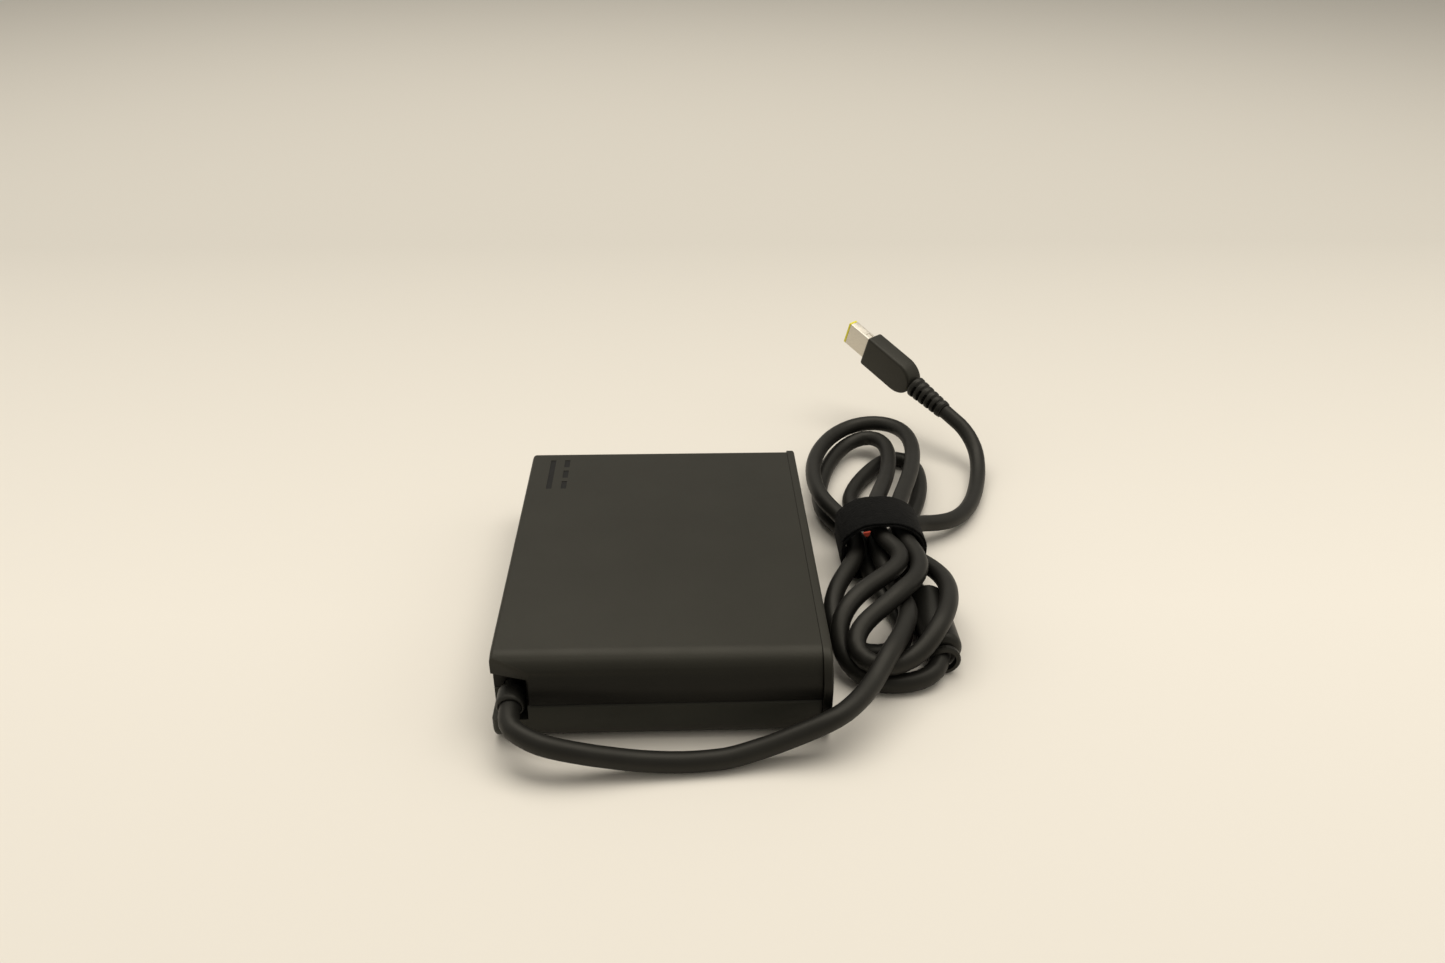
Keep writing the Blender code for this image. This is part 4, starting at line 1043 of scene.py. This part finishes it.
def make_housing():
    """The plug's grip, with the seat that the tongue stands in."""
    half = HOUSING_T / 2
    housing = pillow("plug_body", housing_profile, -half, half, (HOUSING_ROUND, HOUSING_ROUND),
                     lambda a, b, t: in_plug(a, t, b), MATS["plug"])
    seat_y, seat_z = SHELL_T / 2 + SEAT_GAP, SHELL_W / 2 + SEAT_GAP
    subtract(housing, plug_block("seat", (FACE - SEAT_DEPTH, -seat_y, -seat_z),
                                 (FACE + SEAT_DEPTH, seat_y, seat_z)))
    return stand_for(housing, "plug_housing", slot="jacket")


def rounded_box(half_t, half_w, r):
    """A section of the plug's tongue, (y, z)."""
    points = []
    for sy, sz, start in ((1, 1, 0), (-1, 1, 90), (-1, -1, 180), (1, -1, 270)):
        points += arc(sy * (half_t - r), sz * (half_w - r), r, r, start, start + 90, steps=4)
    return points


def plug_tube(name, outer, inner, reach, mat):
    """A hollow rectangular sleeve along the plug's axis, with softened ends."""
    x0, x1 = reach
    soft = TUBE_ROUND
    bm = bmesh.new()
    loops = []
    for section, x, inset in ((outer, x0, soft), (outer, x0 + soft, 0), (outer, x1 - soft, 0),
                              (outer, x1, soft), (inner, x1, -soft / 2), (inner, x1 - soft, 0),
                              (inner, x0, 0)):
        half_t, half_w, r = section
        points = rounded_box(half_t - inset, half_w - inset, max(TUBE_CORNER_MIN, r))
        loops.append([bm.verts.new(in_plug(x, y, z) * MM) for y, z in points])
    skin(bm, loops + loops[:1])
    return new_mesh(name, bm, mat)


def make_tongue():
    """The plated shell, and the yellow insulator whose rim closes its end."""
    shell = plug_tube("plug_sleeve", SHELL_OUT, SHELL_IN, SHELL_X, MATS["nickel"])
    side = SHELL_W / 2
    subtract(shell, plug_block("latch", (LATCH_X[0], -LATCH_HALF, side - LATCH_DEPTH),
                               (LATCH_X[1], LATCH_HALF, side + LATCH_CUT_PAST)))
    rim = plug_tube("insulator_body", INSULATOR_OUT, INSULATOR_IN, INSULATOR_X, MATS["yellow"])
    lip = plug_tube("insulator_lip", SHELL_OUT, INSULATOR_IN, LIP_X, MATS["yellow"])
    stand_for(shell, "plug_shell", slot="nickel")
    stand_for(rim, "plug_insulator", slot="yellow")
    stand_for(lip, slot="yellow")
    return [shell, rim, lip]


# ------------------------ camera, light and floor

SENSOR_W = 36.0                   # the lens is given for this sensor
LENS = 28.7003
CAMERA_AT = (0.0066, -0.3345, 0.2394)       # metres
CAMERA_CLIP = (0.01, 20.0)        # metres
CAMERA_PITCH = math.radians(29.251)         # downwards
CAMERA_YAW = math.radians(2.332)
CAMERA_ROLL = math.radians(0.411)


def make_camera():
    """The camera in front of the adapter, looking down at it."""
    cam = bpy.data.objects.new("camera", bpy.data.cameras.new("camera"))
    bpy.context.scene.collection.objects.link(cam)
    cam.data.sensor_width = SENSOR_W
    cam.data.lens = LENS
    cam.data.clip_start, cam.data.clip_end = CAMERA_CLIP
    ahead = Vector((math.sin(CAMERA_YAW) * math.cos(CAMERA_PITCH),
                    math.cos(CAMERA_YAW) * math.cos(CAMERA_PITCH), -math.sin(CAMERA_PITCH)))
    right = Vector((math.cos(CAMERA_YAW), -math.sin(CAMERA_YAW), 0))
    up = right.cross(ahead)
    right, up = (right * math.cos(CAMERA_ROLL) + up * math.sin(CAMERA_ROLL),
                 up * math.cos(CAMERA_ROLL) - right * math.sin(CAMERA_ROLL))
    turn = Matrix((right, up, -ahead)).transposed().to_4x4()
    cam.matrix_world = Matrix.Translation(CAMERA_AT) @ turn
    bpy.context.scene.camera = cam


def area_light(name, place, target, size, power, rgb):
    """A rectangular lamp that faces a target; places and sizes in metres, power in watts."""
    lamp = bpy.data.lights.new(name, "AREA")
    lamp.shape = "RECTANGLE"
    lamp.size, lamp.size_y = size
    lamp.energy = power
    lamp.color = rgb
    obj = bpy.data.objects.new(name, lamp)
    bpy.context.scene.collection.objects.link(obj)
    obj.location = place
    obj.rotation_mode = "QUATERNION"
    obj.rotation_quaternion = (Vector(target) - Vector(place)).to_track_quat("-Z", "Y")


SKY_RGB = (1.0, 0.95, 0.86)
SKY_STRENGTH = 0.42
KEY_RGB = (1.0, 0.95, 0.87)
FILL_RGB = (1.0, 0.95, 0.88)


def make_lights():
    """Soft daylight from above and behind, with weak fills from both sides."""
    world = bpy.data.worlds.new("studio")
    world.use_nodes = True
    sky = world.node_tree.nodes["Background"]
    sky.inputs["Color"].default_value = (*SKY_RGB, 1)
    sky.inputs["Strength"].default_value = SKY_STRENGTH
    bpy.context.scene.world = world
    bpy.context.scene.view_settings.view_transform = "Standard"
    area_light("key_light", (0.1, 0.55, 1.6), (0.05, 0.45, 0.0), (2.3, 1.2), 27.0, KEY_RGB)
    area_light("left_light", (-0.9, 0.2, 0.7), (0, 0, 0), (0.8, 0.8), 1.2, FILL_RGB)
    area_light("right_light", (1.0, 0.0, 0.6), (0.05, 0, 0), (0.7, 0.7), 0.9, FILL_RGB)


FLOOR_HALF = 30.0                 # metres
FLOOR_NEAR = (0.80, 0.763, 0.69)
# the paper's tone at the back, darkened by painted shade
FLOOR_FAR_SHADED = (0.585, 0.56, 0.505)
FLOOR_SHADE_SPAN = (0.0, 0.42)          # metres behind the origin over which painted shade turns the paper darker


def make_floor():
    """Pale paper, with painted shade making it a tone darker towards the back, where less light falls."""
    bm = bmesh.new()
    bmesh.ops.create_grid(bm, x_segments=1, y_segments=1, size=FLOOR_HALF)
    paper = plain_material("floor_paper", FLOOR_NEAR, FLOOR_NEAR, 0.8)
    split = node(paper, "ShaderNodeSeparateXYZ")
    link(paper, object_coords(paper), split.inputs["Vector"])
    far_shade = node(paper, "ShaderNodeMapRange", {"From Min": FLOOR_SHADE_SPAN[0], "From Max": FLOOR_SHADE_SPAN[1]})
    link(paper, split.outputs["Y"], far_shade.inputs["Value"])
    tint(paper, far_shade.outputs["Result"], FLOOR_NEAR, FLOOR_FAR_SHADED, low=0.0, high=1.0)
    new_mesh("studio_floor", bm, paper)


# ------------------------ cord


def make_cord():
    """The whole cord as one round curve, and the centre line that it follows."""
    path = evenly(settle(evenly(smooth_curve(cord_route()), CORD_STEP)), CORD_STEP)
    curve = bpy.data.curves.new("output_cord", "CURVE")
    curve.dimensions = "3D"
    curve.bevel_depth = CORD_D / 2 * MM
    curve.bevel_resolution = CORD_ROUNDNESS
    curve.use_fill_caps = True
    spline = curve.splines.new("POLY")
    spline.points.add(len(path) - 1)
    for point, place in zip(spline.points, path):
        point.co = (*(Vector(place) * MM), 1.0)
    spline.use_smooth = True
    cord = show(bpy.data.objects.new("output_cord", curve), MATS["jacket"])
    return stand_for(cord, "output_lead", "cord_hank", "plug_tail"), path


# ------------------------ assembly


make_camera()
make_lights()
make_floor()
refinish_nodes()
cord, cord_path = make_cord()
make_top_cover()
make_bottom_cover()
make_end_cap()
boot = make_boot()
bead = make_bead()
strap = make_strap()
relief = make_relief()
housing = make_housing()
tongue = make_tongue()
